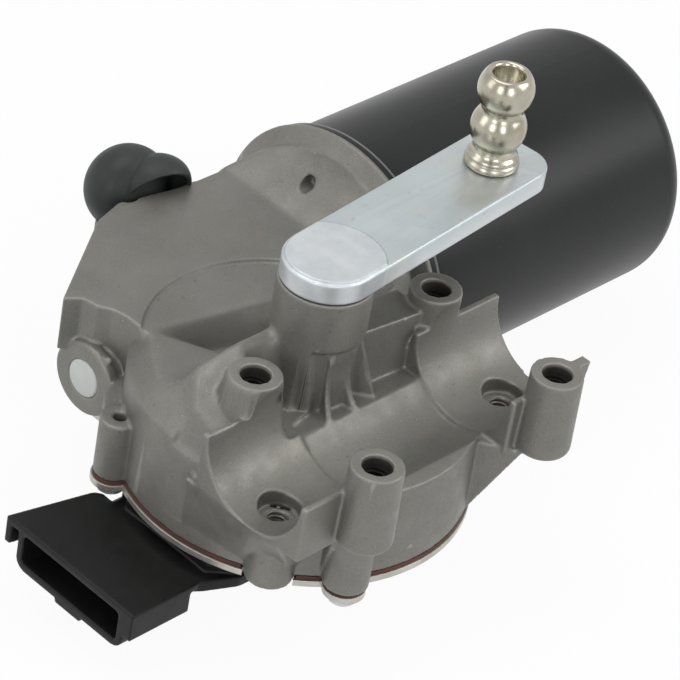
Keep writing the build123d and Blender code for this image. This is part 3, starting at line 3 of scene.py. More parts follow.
import bmesh
import bpy
import numpy
from mathutils import Matrix, Vector
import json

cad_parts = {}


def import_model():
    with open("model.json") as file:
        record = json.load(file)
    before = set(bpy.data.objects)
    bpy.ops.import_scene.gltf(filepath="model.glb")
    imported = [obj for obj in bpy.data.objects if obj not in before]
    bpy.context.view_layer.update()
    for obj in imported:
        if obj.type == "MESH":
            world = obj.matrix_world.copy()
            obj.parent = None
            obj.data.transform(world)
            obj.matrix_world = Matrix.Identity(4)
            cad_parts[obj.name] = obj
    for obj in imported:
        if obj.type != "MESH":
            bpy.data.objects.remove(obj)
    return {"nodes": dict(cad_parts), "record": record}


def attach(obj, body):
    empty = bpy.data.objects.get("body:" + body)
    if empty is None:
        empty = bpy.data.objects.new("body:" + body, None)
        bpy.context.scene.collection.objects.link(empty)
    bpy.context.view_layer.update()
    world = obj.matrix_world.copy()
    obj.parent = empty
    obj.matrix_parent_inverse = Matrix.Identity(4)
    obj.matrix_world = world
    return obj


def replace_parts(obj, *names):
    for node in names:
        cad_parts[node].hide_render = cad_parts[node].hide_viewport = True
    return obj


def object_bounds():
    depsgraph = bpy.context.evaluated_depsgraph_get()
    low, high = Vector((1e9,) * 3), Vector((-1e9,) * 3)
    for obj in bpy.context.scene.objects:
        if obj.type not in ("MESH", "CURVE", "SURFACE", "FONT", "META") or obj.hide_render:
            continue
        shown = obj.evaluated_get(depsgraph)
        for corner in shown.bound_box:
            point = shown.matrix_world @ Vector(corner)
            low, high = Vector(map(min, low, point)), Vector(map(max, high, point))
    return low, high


# Shapes are in millimetres from the housing's datum, on the output shaft's axis at the cover's outer face.
# Materials, lamps and the camera are in metres in the part's frame, where the datum is at DATUM.
MM = 0.001
DATUM = Vector((-3.1, 24.6, -41.5)) * MM

# Holes, and the boss that stands in the fairing.
CLAMP_HOLES = ((-31.05, -24.3), (38.95, -24.3))
BOSS_HOLES = ((-24.9, -6.1), (31.1, -6.1), (31.1, -43.1), (-24.9, -43.1))
BOSS_R = 6.0
BOSS_TOP = 41.5
CLAMP_THREAD = dict(low=6.6, high=16.95, plain=0.0, root=2.46, depth=0.42, pitch=1.0)
BOSS_THREAD = dict(low=25.0, high=40.7, plain=2.0, root=3.36, depth=0.3, pitch=1.25)
THREAD_STEPS = 48
THREAD_WALL = 0.3
THREAD_CREST = 1.35                 # above 1, the crests are cut flat

# Forms that the casting has and its solid lacks.
DECK_EDGE = ((-14, 58.7), (-5.5, 64.5), (3.0, 67.1), (18, 64.3), (24, 64.2), (24, 55), (-14, 52))
DECK_EDGE_LOW, DECK_EDGE_HIGH = 22.0, 31.5
ARCH_AXIS = (-24.0, 39.5, 12.5)     # bead round the root of the worm tunnel
ARCH_R = 10.4
ARCH_BEAD_R = 0.9
ARCH_FROM, ARCH_TO = -60, 110       # degrees
BACKING_R, BACKING_BORE_R = 6.6, 4.95
BACKING_LOW, BACKING_HIGH = 15.0, 19.4
BACKING_FROM, BACKING_TO = -30, 120  # degrees
BACKING_STEPS = 12
NIPPLE = (7.2, 70.6)                # nipple under the ventilation cap
NIPPLE_REACH = 4.5
NIPPLE_TOP = 26.0
FAR = numpy.inf
SHAFT_AXIS = (0, 0)
FAIRING_BOX = ((-40, -6), (-13, 12), (-FAR, FAR))    # x, y and z between which the fairing is cut down
FAIRING_CLEAR = 0.35                # uncut round the boss
FAIRING_DROP = 0.6                  # ridge of the fairing below the bosses
FAIRING_RIDGE_Y = 4.0               # where the fairing starts to fall towards the front
FAIRING_FALL = 0.4                  # per millimetre
FAIRING_SIDE_X = -20.0              # where it starts to fall towards the left
FAIRING_SIDE_FALL = 0.42
NECK_CLEAR = 11.0                   # uncut round the shaft's axis
CRADLE_WALL_Y = -8.4                # outer face of the cradles' rear wall
CRADLE_TOP = 34.5
RECESS_X = -18.9                    # left end of the recess between the fairing and the neck
RECESS_Y = 1.0                      # its rear end
RECESS_CORNER = (-10.0, -1.5)       # a point of its slanting rear edge
RECESS_SLANT = 0.55
RECESS_CLEAR = 1.2                  # between it and the boss
RECESS_FLOOR = 25.0

# Where the casting has large fillets: x, y and z between which they lie, and how strong they are.
SOFT_POCKET, POCKET_SOFTNESS = ((-37, 10), (0.5, 29), (19, FAR)), 1.0
SOFT_RIDGE, RIDGE_SOFTNESS = ((26, 38), (5, 62), (29, FAR)), 0.5
SOFT_FAIRING, FAIRING_SOFTNESS = ((-40, -10), (-16, 7), (20, 42)), 0.35
SOFT_NECK_CLEAR = 11.3              # the pocket's fillets end this far from the shaft's axis
SOFT_BOSS_CLEAR = 0.3               # and all of them fade out towards the boss
SOFT_BOSS_FADE = 1.2
CHANNEL_MIDDLE = (3.1, -24.3)
CHANNEL_REACH = 17.0                # the channel between the cradles keeps its edges
FILLET_TURNS = 95                   # of the smoothing that makes them
WEIGHT_LEVELS = 8

# Crank and ball stud.
CRANK_R = 57.4
CRANK_REST = radians(5.84)
ARM_TOP = 58.5
PAD_R = 12.5
BALL_R = 6.5
BALL_LOW, BALL_HIGH = ARM_TOP + 9.9, ARM_TOP + 20.0
WAIST_R = 4.95
STUD_FOOT = ((2.6, 0.02), (5.8, 0.02), (6.2, 0.3), (6.37, 0.8), (6.34, 1.3), (6.1, 1.8), (5.85, 2.0),
             (5.72, 2.15), (5.9, 2.35), (5.95, 2.7), (5.7, 3.15), (5.25, 3.5), (4.95, 4.0), (4.8, 4.7),
             (4.78, 5.2))           # radius, and height above the arm
STUD_RIM = ((4.75, 0.02), (4.4, 0.05), (4.0, -0.05), (3.76, -0.35), (3.65, -0.9), (3.65, -5.0), (2.6, -5.3),
            (2.6, -14.0))           # radius, and height above the rim, which is cut at RIM_R
RIM_R = 4.9
BALL_FOOT_R = 4.85                  # where the lower ball meets the foot
BALL_RIM_R = 5.0                    # where the upper ball meets the rim
WAIST_MIDDLE_R = 4.8
WAIST_SIDE = (4.84, 4.6)            # radius, and distance from either ball's middle
STUD_STEPS = 96

# Ventilation cap.
DOME = (12.2, 73.5, 28.4)
DOME_R = 10.45
DOME_FRONT = 7.6                    # flatter side of the dome, against the gearbox
DOME_REAR = 9.9
DOME_SKIRT = 7.6
HOOD_FROM_DOME = (6.3, 0.6, -2.6)   # along the view's right and up, and away from it
HOOD_HALF = (7.9, 6.3, 7.0)
HOOD_TILT = radians(15.4)
HOOD_MOUTH = Vector((0.15, -0.89, -0.43))    # way the hood opens: down, and towards the camera
HOOD_MOUTH_DEPTH = 0.35
HOOD_WALL = 0.9

# Lighter line at the can's lip: partly paint rubbed through, partly a painted highlight.
LIP_X = 47.35
LIP_HALF = 0.3

# Camera at the photograph's viewing angle, and the stage, in metres.
EYE = Vector((-0.509114, -0.391587, 0.474368))
RIGHT = Vector((0.7026, -0.6959, 0.1487)).normalized()
UP = Vector((0.335, 0.5077, 0.7937)).normalized()
LENS = 197.1
SENSOR = 36.0
CLIP_START = 0.05
LAMP_TARGET = (0.04, 0.03, -0.01)
FLOOR_HALF = 3.0
FLOOR_GAP = 0.0005
FLOOR_WHITE = 0.94                  # how much of the floor is plain white to the camera
SOFT_LIGHT = 0.42
FLAG_HALF = (0.07, 0.5)
FLAG_BACK = 1.25                    # the flag's distance from the origin, as a share of the camera's

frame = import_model()
cad_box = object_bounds()
nodes = frame["nodes"]


# ---------------------------------------------------------------- node helpers
class Graph:
    """Short names for the nodes that the materials are made of."""

    def __init__(self, name):
        self.material = bpy.data.materials.new(name)
        self.material.use_nodes = True
        self.tree = self.material.node_tree
        self.tree.nodes.clear()
        self.output = self.tree.nodes.new("ShaderNodeOutputMaterial")
        self.shader = self.tree.nodes.new("ShaderNodeBsdfPrincipled")
        self.tree.links.new(self.shader.outputs[0], self.output.inputs[0])
        self.place = self.tree.nodes.new("ShaderNodeTexCoord").outputs["Object"]

    def node(self, kind, **settings):
        made = self.tree.nodes.new(kind)
        for key, value in settings.items():
            setattr(made, key, value)
        return made

    def link(self, source, target):
        self.tree.links.new(source, target)

    def feed(self, value, socket):
        """Sets a number or a colour on the socket, or links another node's output to it."""
        if isinstance(value, (int, float)):
            socket.default_value = value
        elif isinstance(value, tuple):
            socket.default_value = (*value, 1.0)
        else:
            self.link(value, socket)

    def stretched(self, scale, turn):
        mapping = self.node("ShaderNodeMapping")
        mapping.inputs["Scale"].default_value = scale
        mapping.inputs["Rotation"].default_value = turn
        self.link(self.place, mapping.inputs["Vector"])
        return mapping.outputs[0]

    def noise(self, scale, detail=3.0, rough=0.5, place=None):
        made = self.node("ShaderNodeTexNoise")
        made.inputs["Scale"].default_value = scale
        made.inputs["Detail"].default_value = detail
        made.inputs["Roughness"].default_value = rough
        self.link(place or self.place, made.inputs["Vector"])
        return made.outputs["Fac"]

    def ramp(self, fac, stops):
        made = self.node("ShaderNodeValToRGB")
        elements = made.color_ramp.elements
        for element, (position, value) in zip(elements, stops):
            element.position = position
            element.color = (*value, 1.0) if isinstance(value, tuple) else (value, value, value, 1.0)
        self.link(fac, made.inputs[0])
        return made.outputs[0]

    def mix(self, fac, first, second):
        made = self.node("ShaderNodeMix", data_type="RGBA", blend_type="MIX")
        self.feed(fac, made.inputs[0])
        self.feed(first, made.inputs[6])
        self.feed(second, made.inputs[7])
        return made.outputs[2]

    def math(self, kind, first, second=0.0):
        made = self.node("ShaderNodeMath", operation=kind)
        self.feed(first, made.inputs[0])
        self.feed(second, made.inputs[1])
        return made.outputs[0]

    def near_shaft(self, reach, soft):
        """1 within reach of the output shaft's axis, in millimetres, and 0 beyond it."""
        apart = self.node("ShaderNodeVectorMath", operation="SUBTRACT")
        self.link(self.place, apart.inputs[0])
        apart.inputs[1].default_value = DATUM
        flat = self.node("ShaderNodeVectorMath", operation="MULTIPLY")
        self.link(apart.outputs[0], flat.inputs[0])
        flat.inputs[1].default_value = (1 / MM, 1 / MM, 0)
        length = self.node("ShaderNodeVectorMath", operation="LENGTH")
        self.link(flat.outputs[0], length.inputs[0])
        ends = self.node("ShaderNodeMapRange", clamp=True)
        self.link(length.outputs["Value"], ends.inputs["Value"])
        ends.inputs["From Min"].default_value = reach + soft
        ends.inputs["From Max"].default_value = reach - soft
        return ends.outputs[0]

    def band_x(self, middle, half):
        """1 on a narrow band round the armature's axis, at one distance along it."""
        split = self.node("ShaderNodeSeparateXYZ")
        self.link(self.place, split.inputs[0])
        apart = self.math("ABSOLUTE", self.math("SUBTRACT", split.outputs[0], middle))
        return self.math("LESS_THAN", apart, half)

    def edges(self):
        """1 on outer edges, and 0 on flat and hollow places."""
        pointiness = self.node("ShaderNodeNewGeometry").outputs["Pointiness"]
        return self.ramp(pointiness, ((0.51, 0.0), (0.6, 1.0)))

    def bump(self, height, strength, distance, radius=0.0):
        """Bumps the surface, and rounds its edges to a radius in metres."""
        made = self.node("ShaderNodeBump")
        made.inputs["Strength"].default_value = strength
        made.inputs["Distance"].default_value = distance
        self.link(height, made.inputs["Height"])
        if radius:
            bevel = self.node("ShaderNodeBevel", samples=6)
            bevel.inputs["Radius"].default_value = radius
            self.link(bevel.outputs[0], made.inputs["Normal"])
        self.link(made.outputs[0], self.shader.inputs["Normal"])

    def finish(self, color, rough, metallic=0.0):
        self.feed(color, self.shader.inputs["Base Color"])
        self.feed(rough, self.shader.inputs["Roughness"])
        self.feed(metallic, self.shader.inputs["Metallic"])
        return self.material


# ---------------------------------------------------------------- materials
def cast_aluminium():
    """Die casting: mottled grey with warm stains, fine grain, dark pits, bright specks painted in as glints
    of light, and rubbed edges.
    """
    g = Graph("cast_aluminium")
    cloud = g.noise(38, 6, 0.62)
    grain = g.noise(2600, 3, 0.6)
    speck = g.noise(900, 2, 0.5)
    base = g.ramp(cloud, ((0.32, (0.140, 0.139, 0.124)), (0.68, (0.200, 0.197, 0.178))))
    stained = g.mix(g.ramp(g.noise(90, 5, 0.65), ((0.48, 0.0), (0.72, 0.55))), base, (0.165, 0.145, 0.116))
    grainy = g.mix(g.ramp(grain, ((0.35, 0.0), (0.65, 0.34))), stained, (0.27, 0.265, 0.24))
    pitted = g.mix(g.ramp(speck, ((0.66, 0.0), (0.78, 0.5))), grainy, (0.08, 0.078, 0.07))
    # Painted highlights: tiny bright specks that stand in for glints of light on the metal.
    painted_glints = g.mix(g.ramp(g.noise(1500, 1, 0.4), ((0.80, 0.0), (0.84, 0.6))), pitted, (0.60, 0.60, 0.57))
    worn = g.mix(g.math("MULTIPLY", g.edges(), 0.5), painted_glints, (0.36, 0.355, 0.33))
    rough = g.ramp(g.noise(240, 4), ((0.3, 0.40), (0.7, 0.56)))
    g.bump(g.mix(0.4, grain, speck), 0.5, 0.00014)
    return g.finish(worn, rough, 0.45)


def zinc_plate():
    """Zinc-plated arm: rolled grain along it, a bluish cast with yellow patches, a paler coined pad, and
    lighter edges that are partly rubbed plating and partly a painted highlight.
    """
    g = Graph("zinc_steel")
    brushed = g.noise(1100, 3, 0.6, g.stretched((0.05, 1, 1), (0, 0, CRANK_REST)))
    cloud = g.noise(55, 5, 0.6)
    base = g.ramp(cloud, ((0.3, (0.46, 0.52, 0.54)), (0.7, (0.55, 0.60, 0.61))))
    yellow = g.mix(g.ramp(g.noise(80, 3), ((0.5, 0.0), (0.75, 0.55))), base, (0.56, 0.57, 0.49))
    streaky = g.mix(g.ramp(brushed, ((0.35, 0.0), (0.7, 0.12))), yellow, (0.66, 0.70, 0.71))
    stained = g.mix(g.ramp(g.noise(420, 5), ((0.62, 0.0), (0.8, 0.4))), streaky, (0.22, 0.24, 0.24))
    pad = g.near_shaft(PAD_R, 0.3)
    clouds = g.ramp(g.noise(300, 4), ((0.4, 0.0), (0.7, 1.0)))
    padded = g.mix(pad, stained, g.mix(clouds, (0.52, 0.56, 0.58), (0.61, 0.64, 0.66)))
    # Lighter edges: partly rubbed plating, partly a painted highlight along the arm's rounded edges.
    worn = g.mix(g.math("MULTIPLY", g.edges(), 0.6), padded, (0.68, 0.70, 0.71))
    dents = g.math("MULTIPLY", pad, g.noise(260, 2, 0.4))
    g.bump(g.math("ADD", g.math("MULTIPLY", brushed, 0.12), dents), 0.5, 0.0002, 0.0006)
    rough = g.mix(pad, g.ramp(g.noise(150, 5), ((0.3, 0.30), (0.7, 0.42))), (0.44, 0.44, 0.44))
    return g.finish(worn, rough, 0.85)


def stud_plating():
    """Yellowish plating over turning marks."""
    g = Graph("stud_steel")
    rings = g.node("ShaderNodeTexWave", bands_direction="Z", wave_profile="SAW")
    rings.inputs["Scale"].default_value = 900
    rings.inputs["Distortion"].default_value = 0.6
    g.link(g.place, rings.inputs["Vector"])
    clouds = g.ramp(g.noise(160, 4), ((0.35, 0.0), (0.7, 1.0)))
    shade = g.mix(clouds, (0.50, 0.475, 0.395), (0.36, 0.335, 0.26))
    g.bump(rings.outputs["Fac"], 0.06, 0.00004, 0.0003)
    return g.finish(shade, g.ramp(g.noise(300, 4), ((0.3, 0.2), (0.7, 0.3))), 1.0)


def can_paint():
    """Black paint with orange peel and dust, and a lighter line at the can's lip that is partly paint rubbed
    through and partly a painted highlight.
    """
    g = Graph("can_paint")
    g.shader.inputs["Specular IOR Level"].default_value = 0.24
    cloud = g.noise(30, 5)
    base = g.ramp(cloud, ((0.3, (0.010, 0.0105, 0.0105)), (0.7, (0.016, 0.0165, 0.0165))))
    peel = g.noise(520, 2, 0.4)
    dusty = g.mix(g.ramp(g.noise(1400, 4), ((0.62, 0.0), (0.75, 0.25))), base, (0.06, 0.06, 0.06))
    lip = g.band_x(LIP_X * MM, LIP_HALF * MM)
    # Partly rubbed paint, partly a painted highlight on the lip's edge.
    lip_rubbed_and_highlit = g.mix(g.math("MULTIPLY", lip, 0.8), dusty, (0.20, 0.20, 0.195))
    g.bump(peel, 0.07, 0.0002, 0.0006)
    return g.finish(lip_rubbed_and_highlit, g.ramp(cloud, ((0.3, 0.30), (0.7, 0.38))))


def moulded(name, color, light, rough, shine=0.5):
    g = Graph(name)
    g.shader.inputs["Specular IOR Level"].default_value = shine
    shade = g.mix(g.ramp(g.noise(60, 4), ((0.35, 0.0), (0.7, 1.0))), color, light)
    g.bump(g.noise(1800, 3), 0.1, 0.00008, 0.0004)
    return g.finish(shade, g.ramp(g.noise(400, 3), ((0.3, rough - 0.05), (0.7, rough + 0.06))))


def plain_metal(name, color, light, rough, metallic=1.0):
    g = Graph(name)
    shade = g.mix(g.ramp(g.noise(220, 4), ((0.3, 0.0), (0.7, 1.0))), color, light)
    g.bump(g.noise(1500, 3), 0.06, 0.00006, 0.0003)
    return g.finish(shade, g.ramp(g.noise(500, 3), ((0.3, rough - 0.05), (0.7, rough + 0.08))), metallic)


MATERIALS = {
    "cast_aluminium": cast_aluminium(),
    "steel_cover": plain_metal("steel_cover", (0.42, 0.40, 0.36), (0.56, 0.54, 0.50), 0.38, 0.8),
    "gasket": moulded("gasket", (0.06, 0.022, 0.014), (0.11, 0.036, 0.024), 0.7),
    "zinc_steel": zinc_plate(),
    "sintered_bronze": plain_metal("sintered_bronze", (0.38, 0.24, 0.10), (0.46, 0.30, 0.14), 0.5),
    "rubber_black": moulded("rubber_black", (0.016, 0.018, 0.018), (0.028, 0.031, 0.031), 0.5, 0.35),
    "bare_steel": plain_metal("bare_steel", (0.42, 0.42, 0.41), (0.52, 0.52, 0.51), 0.3),
    "stud_steel": stud_plating(),
    "gear_plastic": moulded("gear_plastic", (0.62, 0.60, 0.52), (0.72, 0.70, 0.62), 0.45),
    "copper": plain_metal("copper", (0.60, 0.26, 0.13), (0.72, 0.36, 0.2), 0.3),
    "black_plastic": moulded("black_plastic", (0.005, 0.005, 0.005), (0.009, 0.009, 0.009), 0.4, 0.22),
    "plug_plastic": moulded("plug_plastic", (0.44, 0.46, 0.43), (0.54, 0.56, 0.53), 0.42),
    "can_paint": can_paint(),
    "ferrite": plain_metal("ferrite", (0.04, 0.04, 0.045), (0.06, 0.06, 0.065), 0.6, 0.2),
    "carbon": moulded("carbon", (0.03, 0.03, 0.03), (0.05, 0.05, 0.05), 0.5),
    "laminations": plain_metal("laminations", (0.22, 0.22, 0.23), (0.3, 0.3, 0.31), 0.4),
    "phenolic": moulded("phenolic", (0.16, 0.08, 0.03), (0.24, 0.12, 0.05), 0.5),
    # Painted shade: the boss holes' threaded walls are coloured dark for the shade deep inside the holes.
    "tapped_shaded_wall": plain_metal("tapped_shaded_wall", (0.030, 0.027, 0.023), (0.06, 0.054, 0.046), 0.55, 0.3),
    "tapped_bright": plain_metal("tapped_bright", (0.20, 0.19, 0.165), (0.28, 0.265, 0.235), 0.4, 0.5),
}


def paint_nodes():
    for entry in frame["record"]["subparts"]:
        piece = nodes[entry["node"]]
        piece.data.materials.clear()
        piece.data.materials.append(MATERIALS[entry["material_slot"]])


# ---------------------------------------------------------------- mesh helpers
def to_frame(point):
    return Vector(point) * MM + DATUM


def to_datum(mesh):
    """The mesh's points as an array of millimetres from the datum."""
    points = numpy.empty(3 * len(mesh.vertices))
    mesh.vertices.foreach_get("co", points)
    return (points.reshape(-1, 3) - numpy.array(DATUM)) / MM


def from_datum(mesh, points):
    mesh.vertices.foreach_set("co", (points * MM + numpy.array(DATUM)).ravel())
    mesh.update()


def to_mesh(shape, mesh):
    shape.to_mesh(mesh)
    shape.free()
    return mesh


def weld(mesh, reach=0.005 * MM):
    shape = bmesh.new()
    shape.from_mesh(mesh)
    bmesh.ops.remove_doubles(shape, verts=shape.verts, dist=reach)
    bmesh.ops.recalc_face_normals(shape, faces=shape.faces)
    to_mesh(shape, mesh)


def add_piece(name, mesh, body, material):
    piece = bpy.data.objects.new(name, mesh)
    bpy.context.collection.objects.link(piece)
    mesh.materials.clear()
    mesh.materials.append(MATERIALS[material])
    for face in mesh.polygons:
        face.use_smooth = True
    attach(piece, body)
    return piece


def ring(x, y, z, radius, steps):
    angles = [2 * pi * k / steps for k in range(steps)]
    return [(x + radius * cos(angle), y + radius * sin(angle), z) for angle in angles]


def quads(count, width):
    """Faces between rings of points that follow each other."""
    faces = []
    for i in range(count - 1):
        for k in range(width):
            a, b = i * width + k, i * width + (k + 1) % width
            faces.append((a, b, b + width, a + width))
    return faces


def revolved(name, rings):
    """Mesh over rings of points, of which the last joins the first."""
    rings = rings + [rings[0]]
    verts = [to_frame(point) for each in rings for point in each]
    mesh = bpy.data.meshes.new(name)
    mesh.from_pydata(verts, [], quads(len(rings), len(rings[0])))
    mesh.validate()
    weld(mesh)
    return mesh


def prism(outline, low, high):
    """Upright block over an outline."""
    count = len(outline)
    verts = [to_frame((x, y, z)) for z in (low, high) for x, y in outline]
    faces = [tuple(range(count))[::-1], tuple(range(count, 2 * count))]
    faces += [(k, (k + 1) % count, (k + 1) % count + count, k + count) for k in range(count)]
    return verts, faces


def arch(axis, reach, thick, start, end, steps=36, sides=10):
    """Round bead on an arc about an axis along X, between two angles in degrees."""
    x, y, z = axis
    verts = []
    for i in range(steps + 1):
        turn = radians(start + (end - start) * i / steps)
        for k in range(sides):
            around = 2 * pi * k / sides
            out = reach + thick * cos(around)
            verts.append(to_frame((x + thick * sin(around), y + out * cos(turn), z + out * sin(turn))))
    ends = [tuple(range(sides))[::-1], tuple(steps * sides + k for k in range(sides))]
    return verts, quads(steps + 1, sides) + ends


def with_modifier(mesh, kind, group=None, **settings):
    """The mesh after one modifier, which works where the group's weights, one for each point, let it."""
    holder = bpy.data.objects.new("holder", mesh)
    bpy.context.collection.objects.link(holder)
    if group is not None:
        made = holder.vertex_groups.new(name="soft")
        levels = numpy.round(group * WEIGHT_LEVELS).astype(int)
        for level in range(1, WEIGHT_LEVELS + 1):
            made.add(numpy.nonzero(levels == level)[0].tolist(), level / WEIGHT_LEVELS, "REPLACE")
        settings["vertex_group"] = "soft"
    modifier = holder.modifiers.new(kind, kind)
    for key, value in settings.items():
        setattr(modifier, key, value)
    depsgraph = bpy.context.evaluated_depsgraph_get()
    result = bpy.data.meshes.new_from_object(holder.evaluated_get(depsgraph))
    bpy.data.objects.remove(holder)
    return result


def softened(node, material, voxel, turns, keep, fillers=(), shaped=None, softness=None):
    """A CAD piece with the rounded edges and fillets of a casting or moulding in its place."""
    mesh = nodes[node].data.copy()
    weld(mesh)
    shape = bmesh.new()
    shape.from_mesh(mesh)
    for verts, faces in fillers:
        made = [shape.verts.new(v) for v in verts]
        for face in faces:
            shape.faces.new([made[i] for i in face])
    mesh = with_modifier(to_mesh(shape, mesh), "REMESH", mode="VOXEL", voxel_size=voxel)
    if shaped:
        from_datum(mesh, shaped(to_datum(mesh)))
    if softness:
        group = softness(to_datum(mesh))
        mesh = with_modifier(mesh, "SMOOTH", group, factor=0.5, iterations=FILLET_TURNS)
    mesh = with_modifier(mesh, "SMOOTH", factor=0.5, iterations=turns)
    mesh = with_modifier(mesh, "DECIMATE", ratio=keep)
    piece = add_piece(f"{node}_soft", mesh, "housing", material)
    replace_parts(piece, node)


# ---------------------------------------------------------------- castings and mouldings
def distance(points, axis):
    """Of each point from an upright axis."""
    return numpy.hypot(points[:, 0] - axis[0], points[:, 1] - axis[1])


def inside(points, box):
    low, high = numpy.array(box).T
    return numpy.all((points > low) & (points < high), axis=1)


def shape_casting(points):
    """Cuts the nipple, lets the first boss stand clear of the fairing, and opens the recess by the neck."""
    x, y, z = points.T
    from_boss = distance(points, BOSS_HOLES[0])
    points[(distance(points, NIPPLE) < NIPPLE_REACH) & (z > NIPPLE_TOP), 2] = NIPPLE_TOP
    ceiling = BOSS_TOP - FAIRING_DROP - FAIRING_FALL * numpy.maximum(FAIRING_RIDGE_Y - y, 0)
    ceiling -= FAIRING_SIDE_FALL * numpy.maximum(FAIRING_SIDE_X - x, 0)
    ceiling = numpy.where(y < CRADLE_WALL_Y, numpy.maximum(ceiling, CRADLE_TOP), ceiling)
    recess = (x > RECESS_X) & (y < RECESS_Y) & (from_boss > BOSS_R + RECESS_CLEAR)
    recess &= y < RECESS_CORNER[1] + RECESS_SLANT * (RECESS_CORNER[0] - x)
    ceiling = numpy.where(recess, RECESS_FLOOR, ceiling)
    near = inside(points, FAIRING_BOX) & (from_boss > BOSS_R + FAIRING_CLEAR)
    near &= distance(points, SHAFT_AXIS) > NECK_CLEAR
    points[:, 2] = numpy.where(near & (z > ceiling), ceiling, z)
    return points


def casting_softness(points):
    """How far each point gives way to the large fillets, from 0 to 1."""
    pocket = inside(points, SOFT_POCKET) & (distance(points, SHAFT_AXIS) > SOFT_NECK_CLEAR)
    ridge = inside(points, SOFT_RIDGE)
    fairing = inside(points, SOFT_FAIRING) & (distance(points, CHANNEL_MIDDLE) > CHANNEL_REACH)
    soft = POCKET_SOFTNESS * pocket + RIDGE_SOFTNESS * ridge + FAIRING_SOFTNESS * fairing
    from_boss = distance(points, BOSS_HOLES[0]) - BOSS_R - SOFT_BOSS_CLEAR
    return numpy.clip(soft, 0, 1) * numpy.clip(from_boss / SOFT_BOSS_FADE, 0, 1)


def clamp_backing():
    """Ring sector behind the left clamp's counterbore, where its wall to the gear chamber is thin."""
    x, y = CLAMP_HOLES[0]
    swept = BACKING_TO - BACKING_FROM
    angles = [radians(BACKING_FROM + swept * i / BACKING_STEPS) for i in range(BACKING_STEPS + 1)]
    outline = [(x + BACKING_R * cos(a), y + BACKING_R * sin(a)) for a in angles]
    outline += [(x + BACKING_BORE_R * cos(a), y + BACKING_BORE_R * sin(a)) for a in reversed(angles)]
    return prism(outline, BACKING_LOW, BACKING_HIGH)


def cast_housing():
    fillers = (prism(DECK_EDGE, DECK_EDGE_LOW, DECK_EDGE_HIGH), clamp_backing(),
               arch(ARCH_AXIS, ARCH_R, ARCH_BEAD_R, ARCH_FROM, ARCH_TO))
    softened("gear_housing", "cast_aluminium", voxel=0.36 * MM, turns=7, keep=0.3,
             fillers=fillers, shaped=shape_casting, softness=casting_softness)


def connector():
    softened("connector_housing", "black_plastic", voxel=0.26 * MM, turns=9, keep=0.4)


# ---------------------------------------------------------------- tapped holes
def tapped(name, material, x, y, low, high, plain, root, depth, pitch):
    """Threaded wall of a tapped hole, a sleeve with a helical crest under a plain length."""
    levels = int((high - low) / (pitch / 8))
    rings = []
    for i in range(levels + 1):
        z = low + (high - low) * i / levels
        fade = min(1.0, max(0.0, (high - plain - z) / pitch))
        row = []
        for k in range(THREAD_STEPS):
            phase = (z / pitch - k / THREAD_STEPS) % 1.0
            crest = 1 - abs(2 * phase - 1)
            radius = root - depth * fade * min(1.0, THREAD_CREST * crest)
            angle = 2 * pi * k / THREAD_STEPS
            row.append((x + radius * cos(angle), y + radius * sin(angle), z))
        rings.append(row)
    rings += [ring(x, y, z, root + THREAD_WALL, THREAD_STEPS) for z in (high, low)]
    add_piece(name, revolved(name, rings), "housing", material)


def tapped_holes():
    for i, (x, y) in enumerate(CLAMP_HOLES):
        tapped(f"clamp_thread_{i + 1}", "tapped_bright", x, y, **CLAMP_THREAD)
    for i, (x, y) in enumerate(BOSS_HOLES):
        # The deep boss holes get the dark material, painted shade for the inside of the holes.
        tapped(f"boss_thread_{i + 1}", "tapped_shaded_wall", x, y, **BOSS_THREAD)


# ---------------------------------------------------------------- ball stud
def ball_arc(middle, low_r, high_r, steps=14):
    """Points of a ball's side between two radii, from below to above."""
    start = -acos(low_r / BALL_R)
    end = acos(high_r / BALL_R)
    angles = [start + (end - start) * i / steps for i in range(steps + 1)]
    return [(BALL_R * cos(a), middle + BALL_R * sin(a)) for a in angles]


def ball_stud():
    """Double ball with a beaded foot, a rounded rim and a bore."""
    x, y = CRANK_R * cos(CRANK_REST), CRANK_R * sin(CRANK_REST)
    rim = BALL_HIGH + sqrt(BALL_R ** 2 - RIM_R ** 2)
    profile = [(radius, ARM_TOP + up) for radius, up in STUD_FOOT]
    side_r, side = WAIST_SIDE
    profile += ball_arc(BALL_LOW, BALL_FOOT_R, WAIST_R)
    profile += [(side_r, BALL_LOW + side), (WAIST_MIDDLE_R, (BALL_LOW + BALL_HIGH) / 2),
                (side_r, BALL_HIGH - side)]
    profile += ball_arc(BALL_HIGH, WAIST_R, BALL_RIM_R)
    profile += [(radius, rim + up) for radius, up in STUD_RIM]
    mesh = revolved("ball_stud_turned", [ring(x, y, z, radius, STUD_STEPS) for radius, z in profile])
    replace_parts(add_piece("ball_stud_turned", mesh, "crank", "stud_steel"), "ball_stud")


# ---------------------------------------------------------------- ventilation cap
def cap_dome():
    """Rubber dome that is flatter towards the gearbox and straight at its skirt."""
    dome = bmesh.new()
    bmesh.ops.create_uvsphere(dome, u_segments=64, v_segments=40, radius=DOME_R)
    for vert in dome.verts:
        vert.co.y *= (DOME_FRONT if vert.co.y < 0 else DOME_REAR) / DOME_R
        vert.co.z = max(vert.co.z, -DOME_SKIRT)
        vert.co = to_frame(vert.co + Vector(DOME))
    mesh = to_mesh(dome, bpy.data.meshes.new("breather_dome"))
    return add_piece("breather_dome", mesh, "housing", "rubber_black")


